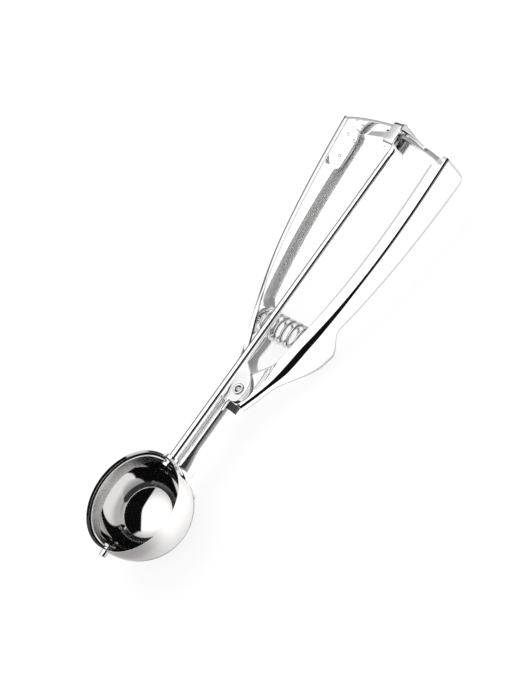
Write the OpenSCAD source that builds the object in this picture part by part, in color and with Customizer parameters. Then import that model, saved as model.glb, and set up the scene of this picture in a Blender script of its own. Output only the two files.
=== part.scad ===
// Lever ice cream scoop: bowl, turning sweep blade, rack and pinion drive, squeeze lever and spring.
// Every module is drawn round the centre of the bowl's ball: Y runs along the tool to the grips,
// Z points out of the bowl's mouth and X points to the moving lever. place() then stands the
// whole tool on Z = 0, with the middle of its outline over the origin.

/* [Bowl] */
// Outer radius of the bowl
bowl_r = 25; // [20:0.5:32]
// Sheet thickness of the bowl
bowl_wall = 0.9; // [0.6:0.1:1.4]
// Rise of the rim above the blade's axis
rim_h = 5.2; // [4:0.2:8]

/* [Sweep] */
// Diameter of the turning shaft
shaft_d = 4; // [3:0.1:5]
// Width of the sweep blade
blade_w = 5.4; // [4:0.2:8]
// Thickness of the sweep blade
blade_t = 0.8; // [0.6:0.1:1.2]
// Gap between the blade and the inside of the bowl
blade_gap = 0.35; // [0.3:0.05:0.6]
// Outer diameter of the blade's hub and eye
eye_d = 5.6; // [5.2:0.2:7]
// Length of the blade's hub and eye along the shaft
eye_len = 1.8; // [1.4:0.1:3]
// Diameter of the far pivot pin
pin_d = 3.4; // [2.6:0.1:4]
// How far the far pivot pin stands out of the bowl
pin_out = 2.7; // [1:0.1:4]

/* [Stem] */
// Outside width of the stem trough
stem_w = 12; // [10:0.5:14]
// Wall of the stem trough
stem_wall = 1.6; // [1.2:0.1:2]
// Drop from the shaft's axis to the top edge of the trough
stem_drop = 3; // [2.8:0.1:4]
// Height of the straight sides of the trough
stem_side = 6; // [4:0.5:8]
// Extra half width where the trough spreads onto the saddle
stem_flare = 3.4; // [1:0.2:5]
// Thickness of the saddle plate
saddle_t = 1; // [0.8:0.1:1.4]
// Gap between the bowl and the saddle plate, filled by the joint
saddle_gap = 0.08; // [0.06:0.02:0.2]
// Half width of the saddle plate
saddle_hw = 14; // [10:0.5:17]
// Top of the saddle plate above the blade's axis
saddle_up = 2.2; // [2:0.2:4]
// Bottom of the saddle plate below the blade's axis
saddle_low = 18.5; // [15:0.5:20]
// Outer diameter of the neck bush
bush_d = 6; // [5.4:0.2:7]
// Height of the neck bush over the saddle
bush_len = 0.6; // [0.4:0.1:2]

/* [Hinge] */
// Distance from the bowl's centre to the hinge
hinge_y = 69.4; // [60:0.2:80]
// Depth of the fixed handle's near ear below the shaft's axis
ear_top = 8.6; // [8:0.1:10]
// Height of the fixed handle's channel at the hinge
ear_h = 8; // [7.6:0.1:10]
// Radius of the fixed handle's ears
ear_r = 6.3; // [5.5:0.1:6.4]
// Radius of the lever's ears
lever_ear_r = 5.7; // [5:0.1:5.8]
// Gap between neighbouring ears
ear_gap = 0.2; // [0.15:0.05:0.3]
// Diameter of the tubular rivet
rivet_d = 4.4; // [4:0.1:5]
// Bore through the rivet
rivet_bore = 2.8; // [2:0.1:3.4]
// Diameter of the rivet's rolled heads
rivet_head_d = 5.8; // [5.4:0.1:7]
// Height of the rivet's rolled heads
rivet_head_h = 0.7; // [0.5:0.1:1.2]
// Gap from the lever's ears to the end of the trough
stem_gap = 5.1; // [4:0.1:7]
// Length of the lever's toe below its ears
toe = 1.1; // [0.5:0.1:3]
// Radial clearance of turning fits
fit = 0.05; // [0.03:0.01:0.09]
// Gap left between neighbouring parts that are joined face to face
seat = 0.02; // [0.01:0.01:0.05]

/* [Handles] */
// Length of the fixed handle beyond the middle of the rack
grip_over = 0.5; // [0.4:0.1:2]
// Length by which the lever stays shorter than the fixed handle
lever_short = 1.4; // [0:0.2:4]
// Distance from the shaft to the back of either grip at the top
grip_x = 35.9; // [30:0.1:40]
// Distance from the shaft to the back of either grip at the hinge
root_x = 5.5; // [5:0.1:6]
// Sheet thickness of both handles
sheet_t = 1.2; // [1:0.1:1.5]
// Outer bend radius of the sheet
bend_r = 2; // [1.6:0.1:3]
// Height of the near edge above the shaft's axis at the top of the grips
near_top = 5.6; // [4:0.1:7]
// Drop of the near edge for each millimetre toward the hinge
near_fall = 0.11; // [0.08:0.005:0.12]
// Depth of the far edge below the shaft's axis at the top of the grips
far_top = 12.6; // [10:0.2:16]
// Depth of the far edge just above the finger rests
far_mid = 14.8; // [13:0.2:16]
// Depth of the finger rests' far edge
rest_low = 24.8; // [21:0.2:24.8]
// Start of the finger rests' shoulder
rest_y = 105.5; // [100:0.5:110]
// Length of the finger rests' shoulder
rest_run = 11; // [8:0.5:16]
// Width of the fixed handle's near flange
fixed_lip = 3.6; // [3:0.1:6]
// Width of the lever's near flange
lever_lip = 6.5; // [4:0.1:8]
// Width of both far flanges
far_lip = 4.6; // [3:0.1:7]
// Corner radius at the top of the grips
corner_r = 4; // [2:0.5:6]

/* [Drive] */
// Teeth on the pinion
teeth = 10; // [9:1:12]
// Radius of the pinion's pitch circle
pitch_r = 4.4; // [4:0.1:5]
// Height of a tooth outside the pitch circle
addendum = 0.55; // [0.4:0.05:0.6]
// Depth of a tooth space inside the pitch circle
dedendum = 0.85; // [0.7:0.05:0.9]
// Length of the pinion
pinion_len = 7.4; // [6:0.2:9]
// Distance from the hinge to the middle of the rack
rack_r = 136.3; // [134:0.1:138]
// Thickness of the rack
rack_t = 1.8; // [1.2:0.1:2]
// Height of the rack's back over its tooth spaces
rack_h = 3; // [2:0.1:4]
// Play of the teeth at the pitch line
backlash = 0.22; // [0.16:0.02:0.3]
// Turn of the blade from stop to stop in degrees
sweep_turn = 175; // [160:1:178]

/* [Bridge] */
// Thickness of the bridge strap
strap_t = 1.6; // [1.2:0.1:2]
// Gap between the rack and the strap
strap_gap = 3.1; // [2.6:0.1:4]
// Gap between the pinion and the strap
pinion_gap = 1; // [0.6:0.1:1.6]
// Top of the strap above the shaft's axis
strap_up = 3.9; // [3:0.1:4.2]
// Bottom of the strap below the shaft's axis
strap_low = 9.2; // [6:0.1:11]
// Sheet thickness of the yoke
yoke_t = 1.2; // [1:0.1:1.6]
// Width of the yoke's arm
yoke_w = 6.4; // [5:0.2:7]
// Radius of the yoke's lower lug
lug_r = 5.8; // [5:0.1:6.4]
// Length of the rack keeper
keeper_len = 16.5; // [12:0.5:20]
// Slant of the rack keeper away from the strap
keeper_a = 18; // [10:1:25]
// Width of the rack keeper at its root
keeper_w = 2.9; // [2.4:0.1:4]
// Width of the rack keeper at its tip
keeper_tip = 1.3; // [1:0.1:2.4]
// Length of the tongue down the fixed handle
tongue_len = 22.6; // [16:0.2:30]
// Length of the rack's foot down the lever
foot_len = 12; // [8:0.5:16]
// Diameter of the spot welds' dimples
weld_d = 2.2; // [1.6:0.1:3]

/* [Spring] */
// Outer diameter of the spring
coil_d = 14.2; // [11:0.2:15.6]
// Diameter of the spring's wire
wire_d = 1.5; // [1:0.1:1.8]
// Number of turns
turns = 7; // [4:0.5:9]
// Reach of the spring beyond the start of the finger rests' shoulder
spring_reach = 6.1; // [2:0.1:6.4]
// Gap between the spring and the near flanges above it
spring_gap = 0.3; // [0.3:0.1:1.5]
// Height of the spring seats at their middle
seat_h = 2.6; // [2.5:0.1:4]
// Length of the seats' bosses inside the spring
boss_len = 3; // [2:0.1:4]

/* [Hidden] */
$fn = 72;
steel = [0.78, 0.78, 0.80];
bright = [0.86, 0.86, 0.88];

grip_y = hinge_y + rack_r + grip_over;
root_y = hinge_y - 7.4;
lip_run = 20;
bowl_in = bowl_r - bowl_wall;
blade_r = bowl_in - blade_gap;
shaft_r = shaft_d / 2;
far_ear = ear_top + ear_h;
lever_top = ear_top + sheet_t + ear_gap;
lever_far = far_ear - sheet_t - ear_gap;
tongue_hi = lever_top + sheet_t + ear_gap;
tongue_lo = lever_far - sheet_t - ear_gap;
stem_end = hinge_y - lever_ear_r - stem_gap;
lever_start = hinge_y - lever_ear_r - toe;
lever_y = grip_y - lever_short;
trough_r = stem_w / 2;
trough_z = stem_drop + stem_side;
strap_x = trough_r + seat;

rack_in = rack_r - rack_t / 2;
rack_out = rack_r + rack_t / 2;
strap_in = rack_out + strap_gap;
strap_out = strap_in + strap_t;
rack_root = pitch_r + dedendum;
rack_top = rack_root + rack_h;
yoke_z = rack_top + 0.4;
pinion_y = hinge_y + strap_in - pinion_gap - pinion_len;
washer_t = 0.7;
lug_y = pinion_y - washer_t - 2 * seat - yoke_t;
ring_t = 0.8;
shaft_top = hinge_y + strap_out + ring_t + 0.1;
hub_end = blade_r - 0.3;
eye_end = blade_r - 0.3;
travel = sweep_turn * pitch_r / rack_r;

y_low = -bowl_r - pin_out;
y_high = shaft_top;
z_high = yoke_z + yoke_t;
echo(overall_length = y_high - y_low, lever_travel_deg = travel, drive_ratio = -rack_r / pitch_r);
echo(shift = [0, -(y_low + y_high) / 2, bowl_r], hinge = hinge_y - (y_low + y_high) / 2);

module place() {
  translate([0, -(y_low + y_high) / 2, bowl_r]) children();
}

// A smooth step from 0 at a to 1 at b, and a mix of two values.
function ramp(a, b, v) = let (t = min(1, max(0, (v - a) / (b - a)))) t * t * (3 - 2 * t);
function mix(p, q, t) = p + (q - p) * t;

// Distance from the shaft to the back of a handle: it leaves the hinge steeply and flattens.
function back_x(y) = let (u = min(1, max(0, (y - root_y) / (grip_y - root_y))))
  root_x + (grip_x - root_x) * (1 - 0.175 * (1 - u) - 0.825 * pow(1 - u, 2.58));
function smooth_max(p, q) = (p + q + sqrt((p - q) * (p - q) + 0.4)) / 2;
function fixed_x(y) = smooth_max(back_x(y), strap_x + sheet_t);
function lever_x(y) = back_x(y);

// Height of the near edge: flat over the ears, then straight up to the grips.
function near_line(y) = near_top - near_fall * (grip_y - y);
function near_z(y, ear) = mix(-ear, near_line(y), ramp(hinge_y + 7.6, hinge_y + 27.6, y));

// Height of the far edge: it dips from the ears to the finger rest, steps back up at the
// rest's shoulder and rounds off at the top corner.
function far_grip(y) = mix(-far_mid, -far_top, (y - rest_y - rest_run) / (grip_y - rest_y - rest_run));
function round_off(y, top) = let (d = max(0, y - (top - corner_r)))
  corner_r - sqrt(max(0, corner_r * corner_r - d * d));
function far_z(y, ear, top) = mix(mix(-ear, -rest_low, ramp(hinge_y + 5.6, hinge_y + 31.6, y)),
  far_grip(y), ramp(rest_y, rest_y + rest_run, y)) + round_off(y, top);

// Free edge of a flange: round the ear, then back to its own width along the grip.
function ear_edge(y, r) = let (d = min(0, y - hinge_y)) -sqrt(max(0, r * r - d * d));
function lip_edge(y, back, r, w) = mix(ear_edge(y, r), back - w, ramp(hinge_y, hinge_y + lip_run, y));

bend_n = 3;
function bend(cx, cz, r, a0) = [for (i = [0 : bend_n]) let (a = a0 - 90 * i / bend_n)
  [cx + r * cos(a), cz + r * sin(a)]];
// One C section of a handle, as twenty points of [distance from the shaft, height].
function channel(back, zn, zf, en, ef) = let (ri = bend_r - sheet_t) concat(
  [[en, zn]], bend(back - bend_r, zn - bend_r, bend_r, 90),
  bend(back - bend_r, zf + bend_r, bend_r, 0), [[ef, zf]],
  [[ef, zf + sheet_t]], flip(bend(back - bend_r, zf + bend_r, ri, 0)),
  flip(bend(back - bend_r, zn - bend_r, ri, 90)), [[en, zn - sheet_t]]);
function flip(list) = [for (i = [len(list) - 1 : -1 : 0]) list[i]];

// A tube of equal rings, closed at both ends by strips between its two walls.
module shell_loft(rings, turned) {
  n = len(rings[0]);
  m = len(rings);
  points = [for (r = rings) for (p = r) p];
  sides = [for (k = [0 : m - 2]) for (i = [0 : n - 1]) let (j = (i + 1) % n)
    each [[k * n + i, k * n + j, (k + 1) * n + j], [k * n + i, (k + 1) * n + j, (k + 1) * n + i]]];
  low = [for (i = [0 : n / 2 - 2]) each [[i, n - 1 - i, i + 1], [i + 1, n - 1 - i, n - 2 - i]]];
  b = (m - 1) * n;
  high = [for (i = [0 : n / 2 - 2]) each [[b + i, b + i + 1, b + n - 1 - i],
    [b + i + 1, b + n - 2 - i, b + n - 1 - i]]];
  faces = concat(sides, low, high);
  polyhedron(points, turned ? [for (f = faces) [f[2], f[1], f[0]]] : faces);
}

// Stations along a handle, closer together where the finger rest and the top corner turn.
function stations(a, top) = concat([for (y = [a : (rest_y - 4 - a) / 15 : rest_y - 4]) y],
  [for (i = [1 : 13]) rest_y - 4 + i * (rest_run + 7) / 13],
  [for (i = [1 : 9]) mix(rest_y + rest_run + 3, top - corner_r, i / 9)],
  [for (i = [1 : 5]) top - corner_r + corner_r * sin(15 * i) * 0.98]);

// The lever's near flange stops under the rack, which passes over its end to the web.
module handle_body(side, a, top, ear_n, ear_f, r, lip) {
  shell_loft([for (y = stations(a, top)) let (back = side < 0 ? fixed_x(y) : lever_x(y))
    [for (p = channel(back, near_z(y, ear_n), far_z(y, ear_f, top),
      lip_edge(y, back, r, lip), lip_edge(y, back, r, far_lip))) [side * p[0], y, p[1]]]],
    side > 0);
}

module hinge_axis(r, lo, hi) {
  translate([0, hinge_y, lo]) cylinder(h = hi - lo, r = r);
}

module along_y(r, y0, y1, fn = 48) {
  translate([0, y1, 0]) rotate([90, 0, 0]) cylinder(h = y1 - y0, r = r, $fn = fn);
}

module bowl() color(bright) place() {
  difference() {
    union() {
      intersection() {
        sphere(r = bowl_r, $fn = 120);
        translate([-bowl_r - 1, -bowl_r - 1, -bowl_r - 1])
          cube([2 * bowl_r + 2, 2 * bowl_r + 2, bowl_r + 1]);
      }
      cylinder(h = rim_h, r = bowl_r, $fn = 120);
    }
    sphere(r = bowl_in, $fn = 120);
    cylinder(h = rim_h + 1, r = bowl_in, $fn = 120);
    along_y(bush_d / 2 + seat, bowl_in - 4, bowl_r + 4);
    along_y(pin_d / 2 + seat, -bowl_r - 1, -bowl_in + 3);
  }
}

// The saddle is a rounded plate of the ball just outside the bowl, on the stem's side.
module saddle() color(steel) place() {
  difference() {
    intersection() {
      difference() {
        sphere(r = bowl_r + saddle_gap + saddle_t, $fn = 120);
        sphere(r = bowl_r + saddle_gap, $fn = 120);
      }
      translate([0, 2 * bowl_r, 0]) rotate([90, 0, 0]) linear_extrude(height = 2 * bowl_r - 4) hull() {
        for (s = [-1, 1]) {
          translate([s * (saddle_hw - 4), saddle_up - 4]) circle(r = 4, $fn = 32);
          translate([s * (saddle_hw - 7), 7 - saddle_low]) circle(r = 7, $fn = 40);
        }
      }
    }
    along_y(bush_d / 2 + seat, bowl_in - 4, bowl_r + 4);
  }
}

// Half of the trough's outline from its left top edge round the bottom, at radius r.
function trough(r, y) = let (w = stem_flare * (1 - ramp(bowl_r - 2, bowl_r + 13, y)))
  concat([[-r - w, -stem_drop]], [for (i = [0 : 12]) let (a = 180 + 15 * i)
    [(r + w) * cos(a), -trough_z + r * sin(a)]], [[r + w, -stem_drop]]);

module neck_stem() color(steel) place() {
  difference() {
    union() {
      shell_loft([for (i = [0 : 14]) let (y = mix(bowl_r - 11, stem_end, pow(i / 14, 1.4)))
        [for (p = concat(trough(trough_r, y), flip(trough(trough_r - stem_wall, y))))
          [p[0], y, p[1]]]], false);
      translate([-stem_neck, stem_end - 9, -tongue_lo])
        cube([2 * stem_neck, 9 + hinge_y - stem_end, tongue_lo - tongue_hi]);
      hinge_axis(lever_ear_r - 0.5, -tongue_lo, -tongue_hi);
    }
    sphere(r = bowl_r + saddle_gap + saddle_t + 2 * seat, $fn = 120);
    hinge_axis(rivet_d / 2 + fit, -tongue_lo - 1, -tongue_hi + 1);
  }
}
stem_neck = root_x - sheet_t - 0.5;

module neck_bush() color(steel) place() {
  difference() {
    along_y(bush_d / 2, bowl_in - 0.3, bowl_r + saddle_t + bush_len);
    along_y(shaft_r + fit, bowl_in - bush_d, bowl_r + saddle_t + bush_len + 1);
  }
}

module far_pivot_pin() color(bright) place() {
  along_y(pin_d / 2, -bowl_r - pin_out, seat - eye_end + eye_len);
}

module fixed_handle() color(steel) place() {
  difference() {
    union() {
      handle_body(-1, hinge_y - ear_r + 0.05, grip_y, ear_top, far_ear, ear_r, fixed_lip);
      translate([-strap_x - sheet_t, hinge_y - ear_r - strap_run, -far_ear + bend_r])
        cube([sheet_t, strap_run + 2, ear_h - 2 * bend_r]);
      translate([-strap_x - sheet_t, hinge_y - ear_r - strap_run, -trough_z - stem_side / 2])
        cube([sheet_t, strap_run - stem_gap + 1.6, stem_side + 1]);
    }
    hinge_axis(rivet_d / 2 + fit, -far_ear - 1, -ear_top + 1);
  }
}

strap_run = stem_gap + 6;

// Two spot welds hold the fixed handle's strap on the side of the trough.
module stem_welds() color(steel) place() {
  for (y = [stem_end - 5, stem_end - 2])
    translate([-strap_x - sheet_t - seat, y, -trough_z + 2]) rotate([0, -90, 0])
      cylinder(h = 0.35, r = weld_d / 2, $fn = 32);
}

module hinge_rivet() color(bright) place() {
  difference() {
    union() {
      hinge_axis(rivet_d / 2, -far_ear - seat - rivet_head_h / 2, -ear_top + seat + rivet_head_h / 2);
      hinge_axis(rivet_head_d / 2, -ear_top + seat, -ear_top + seat + rivet_head_h);
      hinge_axis(rivet_head_d / 2, -far_ear - seat - rivet_head_h, -far_ear - seat);
    }
    hinge_axis(rivet_bore / 2, -far_ear - 3, -ear_top + 3);
  }
}

// A sector of a ring round the hinge, from angle a0 to a1 clockwise from the shaft.
module ring_sector(r0, r1, z0, z1, a0, a1) {
  translate([0, hinge_y, 0]) rotate([0, 0, 90 - a1]) rotate_extrude(angle = a1 - a0, $fn = 360)
    translate([r0, z0]) square([r1 - r0, z1 - z0]);
}

strap_a = asin((grip_x - sheet_t - 1.6) / strap_in);
lean = atan((back_x(grip_y - 2) - back_x(grip_y - 22)) / 20);
// The tongue's lower corners stay clear of the bends between the web and its flanges.
corner_y = grip_y - tongue_len + 5;
tongue_near = near_line(corner_y) - bend_r - 5;
tongue_far = far_grip(corner_y) + bend_r + 5;
weld_mid = (tongue_near + tongue_far) / 2;
tongue_gap = 0.16;
tongue_x = back_x(grip_y) - sheet_t - tongue_gap;

// The strap's tongue lies on the fixed handle's web. The strap crosses to the shaft, rises
// over the rack, folds down the arm and ends in the lug below the pinion.
module bridge_yoke() color(bright) place() {
  difference() {
    union() {
      translate([-tongue_x, grip_y, 0]) rotate([0, 0, lean]) rotate([90, 0, 90])
        linear_extrude(height = yoke_t) hull() {
          translate([-1.2, -strap_low]) square([1, strap_up + strap_low]);
          for (z = [tongue_near, tongue_far]) translate([corner_y - grip_y, z]) circle(r = 5, $fn = 48);
        }
      ring_sector(strap_in, strap_out, -strap_low, strap_up, -strap_a - 0.45, asin(yoke_w / strap_in));
      translate([-yoke_in, hinge_y + strap_in, strap_up - 2])
        cube([yoke_w, strap_t - 0.1, yoke_z + yoke_t - strap_up + 2]);
      translate([-yoke_in, lug_y, yoke_z]) cube([yoke_w, hinge_y + strap_out - 0.1 - lug_y, yoke_t]);
      translate([-yoke_in, lug_y, 0]) cube([yoke_w, yoke_t, yoke_z + yoke_t]);
      along_y(lug_r, lug_y, lug_y + yoke_t);
      translate([yoke_w - yoke_in, hinge_y + strap_out - keeper_w / 2 - 1, yoke_z]) {
        translate([-1, 0.15 - keeper_w / 2, 0]) cube([keeper_root + 1, keeper_w + 0.5, yoke_t]);
        translate([keeper_root, 0, 0]) rotate([0, 0, -keeper_a]) hull() {
          cylinder(h = yoke_t, r = keeper_w / 2, $fn = 40);
          translate([keeper_len, 0, 0]) cylinder(h = yoke_t, r = keeper_tip / 2, $fn = 32);
        }
      }
    }
    along_y(shaft_r + fit, lug_y - 1, hinge_y + strap_out + 1);
    translate([0, hinge_y, 0]) rotate([0, 0, slot_a]) translate([-slot_len / 2, strap_in - 2, slot_z])
      cube([slot_len, strap_t + 4, slot_h]);
  }
}
yoke_in = 0.5;
keeper_root = 2.2;
slot_a = 4.6;
slot_len = 5.4;
slot_h = 2.6;
slot_z = -2.4;

// Three dimples pressed by the spot welder into the tongue.
module bridge_welds() color(steel) place() {
  translate([-tongue_x, grip_y, 0]) rotate([0, 0, lean])
    for (p = [[-5.6, weld_mid + 2.85], [-5.6, weld_mid - 2.85], [-15.9, weld_mid - 0.5]])
      translate([yoke_t + seat, p[0], p[1]]) rotate([0, 90, 0])
        cylinder(h = 0.3, r1 = weld_d / 2, r2 = weld_d / 2 - 0.3, $fn = 32);
}

// A seat fits the leaning web behind it and carries a flat face and a boss for the spring.
spring_y = rest_y + spring_reach - coil_d / 2;
spring_z = spring_gap + coil_d / 2 + sheet_t - near_line(spring_y);
seat_lean = atan((back_x(spring_y + 5) - back_x(spring_y - 5)) / 10);
web_x = back_x(spring_y) - sheet_t;
face_x = web_x - seat_h;
module spring_seat(side) {
  mirror([side > 0 ? 0 : 1, 0, 0]) difference() {
    translate([0, spring_y, -spring_z]) union() {
      translate([face_x, 0, 0]) rotate([0, 90, 0]) cylinder(h = seat_h + 4, r = coil_d / 2 - 0.5);
      translate([face_x - boss_len, 0, 0]) rotate([0, 90, 0])
        cylinder(h = boss_len + 1, r = coil_d / 2 - wire_d - 0.5);
    }
    translate([web_x - 0.14, spring_y, -spring_z]) rotate([0, 0, -seat_lean])
      translate([0, -30, -30]) cube([30, 60, 60]);
  }
}
module fixed_spring_seat() color(steel) place() spring_seat(-1);
module lever_spring_seat() color(steel) place() spring_seat(1);

// The spring is one tube: straight for one wire at each end, square to the seats, and a
// steady helix between, with eight rings to a turn and six sides.
coil_r = (coil_d - wire_d) / 2;
coil_x = face_x - seat;
coil_steps = round(8 * turns);
function coil_point(i) = i == 0 ? [-coil_x, 0] : i == coil_steps + 2 ? [coil_x, turns * 360] :
  [mix(-coil_x + wire_d, coil_x - wire_d, (i - 1) / coil_steps), turns * 360 * (i - 1) / coil_steps];
function coil_at(p) = [p[0], spring_y + coil_r * sin(p[1]), -spring_z + coil_r * cos(p[1])];
coil_rise = (2 * coil_x - 2 * wire_d) / (turns * 2 * PI * coil_r);
coil_list = [for (i = [0 : coil_steps + 2]) coil_point(i)];
function coil_slope(i) = i == 0 || i == coil_steps + 2 ? 90 :
  i == 1 || i == coil_steps + 1 ? mix(atan(coil_rise), 90, 0.45) : atan(coil_rise);
coil_mid = [for (p = coil_list) coil_at(p)];
coil_gap = min([for (i = [1 : coil_steps + 1]) for (j = [i + 5 : 1 : coil_steps + 1])
  norm(coil_mid[i] - coil_mid[j])]) - wire_d;
echo(spring_least_gap = coil_gap);
module return_spring() color(bright) place() {
  rings = [for (i = [0 : coil_steps + 2]) let (p = coil_list[i], s = coil_slope(i), c = coil_mid[i],
    out = [0, sin(p[1]), cos(p[1])], round = [0, cos(p[1]), -sin(p[1])],
    side = [cos(s), 0, 0] - sin(s) * round)
    [for (k = [0 : 5]) c + wire_d / 2 * (cos(60 * k) * out + sin(60 * k) * side)]];
  n = coil_steps + 3;
  points = [for (r = rings) for (q = r) q];
  sides = [for (k = [0 : n - 2]) for (i = [0 : 5]) let (j = (i + 1) % 6)
    each [[k * 6 + i, k * 6 + j, (k + 1) * 6 + j], [k * 6 + i, (k + 1) * 6 + j, (k + 1) * 6 + i]]];
  low = [for (i = [1 : 4]) [0, i + 1, i]];
  high = [for (i = [1 : 4]) [(n - 1) * 6, (n - 1) * 6 + i, (n - 1) * 6 + i + 1]];
  polyhedron(points, concat(sides, low, high));
}

module sweep_shaft() color(bright) place() {
  along_y(shaft_r, hub_end - eye_len, shaft_top);
}

module blade_hub() color(bright) place() {
  difference() {
    along_y(eye_d / 2, hub_end - eye_len, hub_end - 0.4);
    along_y(shaft_r + seat, 0, bowl_r);
  }
}

// The blade is a strip of a thin ball, from the hub round the bowl's side to the eye. It is
// cut round the hub and carries the eye that turns on the far pin.
module sweep_blade() color(bright) place() {
  difference() {
    union() {
      intersection() {
        difference() {
          sphere(r = blade_r, $fn = 120);
          sphere(r = blade_r - blade_t, $fn = 120);
        }
        translate([-bowl_r, -bowl_r, -blade_w / 2]) cube([bowl_r, 2 * bowl_r, blade_w]);
      }
      along_y(eye_d / 2, -eye_end, -eye_end + eye_len);
    }
    along_y(eye_d / 2 + seat, blade_r - 6, bowl_r);
    along_y(pin_d / 2 + fit, -bowl_r, -eye_end + eye_len + 1);
  }
}

module thrust_washer() color(steel) place() {
  difference() {
    along_y(shaft_r + 1.7, pinion_y - washer_t - seat, pinion_y - seat);
    along_y(shaft_r + seat, 0, shaft_top);
  }
}

// Teeth of the pinion: straight flanks from the root circle to the tip circle.
tooth_a = 90 / teeth - backlash / 4 / pitch_r * 180 / PI;
tip_r = pitch_r + addendum;
root_r = pitch_r - dedendum;
function gear_point(r, a) = [r * sin(a), r * cos(a)];
module drive_pinion() color(steel) place() {
  difference() {
    translate([0, pinion_y + pinion_len, 0]) rotate([90, 0, 0]) linear_extrude(height = pinion_len)
      polygon([for (k = [0 : teeth - 1]) let (a = 360 * k / teeth) each [
        gear_point(root_r, a - tooth_a - 2.4), gear_point(pitch_r, a - tooth_a),
        gear_point(tip_r, a - tooth_a * 0.45), gear_point(tip_r, a + tooth_a * 0.45),
        gear_point(pitch_r, a + tooth_a), gear_point(root_r, a + tooth_a + 2.4)]]);
    along_y(shaft_r + seat, 0, shaft_top);
  }
}

module retaining_ring() color(steel) place() {
  difference() {
    along_y(shaft_r + 1, hinge_y + strap_out + 0.05, hinge_y + strap_out + ring_t);
    along_y(shaft_r + seat, 0, shaft_top + 1);
  }
}

module squeeze_lever() color(steel) place() {
  difference() {
    handle_body(1, lever_start, lever_y, lever_top, lever_far, lever_ear_r, lever_lip);
    hinge_axis(rivet_d / 2 + fit, -far_ear - 1, -ear_top + 1);
    translate([rack_end - 14, hinge_y + rack_in * cos(rack_a) - 0.9, 0])
      cube([14 + seat, 20, rack_top]);
  }
}

// The rack is a strap round the hinge with teeth on its lower edge. Its foot turns down the
// lever's web, and the tooth spaces line up with the pinion's upright tooth at rest.
tooth_p = 2 * PI * pitch_r / teeth;
tooth_w = tooth_p / 4 - backlash / 4;
rack_end = grip_x - sheet_t - 0.2;
rack_a = asin(rack_end / rack_out);
foot_y = hinge_y + rack_out * cos(rack_a);
foot_top = near_line(foot_y - foot_len) - bend_r - 0.2;
pitch_a = tooth_p / rack_r * 180 / PI;
rack_last = ceil(travel / pitch_a) + 1;
// One space between two teeth, wider at the teeth's tips, cut right through the strap.
module rack_space() {
  r = tooth_p / 2 - tooth_w - dedendum * 0.4;
  p = r + (dedendum + addendum + 1) * 0.4;
  rotate([90, 0, 0]) linear_extrude(height = rack_t + 4) polygon([[-r, rack_root],
    [-p, pitch_r - addendum - 1], [p, pitch_r - addendum - 1], [r, rack_root]]);
}
module drive_rack() color(steel) place() {
  difference() {
    union() {
      ring_sector(rack_in, rack_out, foot_z, rack_top, -0.85 * pitch_a, rack_a);
      translate([rack_end - 0.04, foot_y - 0.5, foot_z + 0.3]) rotate([0, 0, -lean])
        translate([-yoke_t, -foot_len, 0]) cube([yoke_t, foot_len, foot_top - foot_z]);
    }
    ring_sector(rack_in - 2, rack_out + 2, foot_z - 1, pitch_r - addendum, -2 * pitch_a,
      rack_last * pitch_a + 0.2);
    ring_sector(rack_in - 2, rack_out + 2, foot_z - 2, rack_root - 0.05, rack_last * pitch_a,
      rack_a - 2.6);
    for (k = [-1 : rack_last])
      translate([0, hinge_y, 0]) rotate([0, 0, -k * pitch_a])
        translate([0, rack_out + 2, 0]) rack_space();
  }
}
foot_z = -5;

module rack_welds() color(steel) place() {
  translate([rack_end, foot_y, foot_z]) rotate([0, 0, -lean])
    for (y = [0.36, 0.76])
      translate([-yoke_t - seat, -foot_len * y, (foot_top - foot_z) / 2]) rotate([0, -90, 0])
        cylinder(h = 0.3, r1 = weld_d / 2, r2 = weld_d / 2 - 0.3, $fn = 32);
}

bowl();
saddle();
neck_stem();
neck_bush();
far_pivot_pin();
fixed_handle();
stem_welds();
hinge_rivet();
bridge_yoke();
bridge_welds();
fixed_spring_seat();
return_spring();
sweep_shaft();
blade_hub();
sweep_blade();
thrust_washer();
drive_pinion();
retaining_ring();
squeeze_lever();
drive_rack();
rack_welds();
lever_spring_seat();
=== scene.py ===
"""Looks of a polished steel lever scoop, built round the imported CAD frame.

Shapes are worked out in millimetres round the centre of the bowl's ball (Y along the tool, Z out of
the bowl's mouth, X to the moving lever) and placed in the row frame, in metres, at the end."""

from types import SimpleNamespace

import bmesh
import bpy
import numpy as np
from bpy.props import FloatProperty, FloatVectorProperty, PointerProperty
from bpy.types import Operator, Panel, PropertyGroup
from mathutils import Matrix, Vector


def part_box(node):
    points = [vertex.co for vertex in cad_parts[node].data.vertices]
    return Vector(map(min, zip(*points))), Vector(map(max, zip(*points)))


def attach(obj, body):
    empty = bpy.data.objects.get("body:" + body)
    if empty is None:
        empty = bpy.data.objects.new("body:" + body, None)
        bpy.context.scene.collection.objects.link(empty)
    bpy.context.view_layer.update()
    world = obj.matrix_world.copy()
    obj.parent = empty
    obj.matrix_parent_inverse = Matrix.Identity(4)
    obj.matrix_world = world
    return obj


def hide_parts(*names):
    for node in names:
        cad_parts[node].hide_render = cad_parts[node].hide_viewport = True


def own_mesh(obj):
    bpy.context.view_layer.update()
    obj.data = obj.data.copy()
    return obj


bl_info = {
    "name": "Lever Scoop",
    "version": (1, 0, 0),
    "blender": (4, 5, 0),
    "location": "3D View > Sidebar > Scoop",
    "description": "Builds a polished steel lever scoop round its CAD frame",
    "category": "Object",
}

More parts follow.
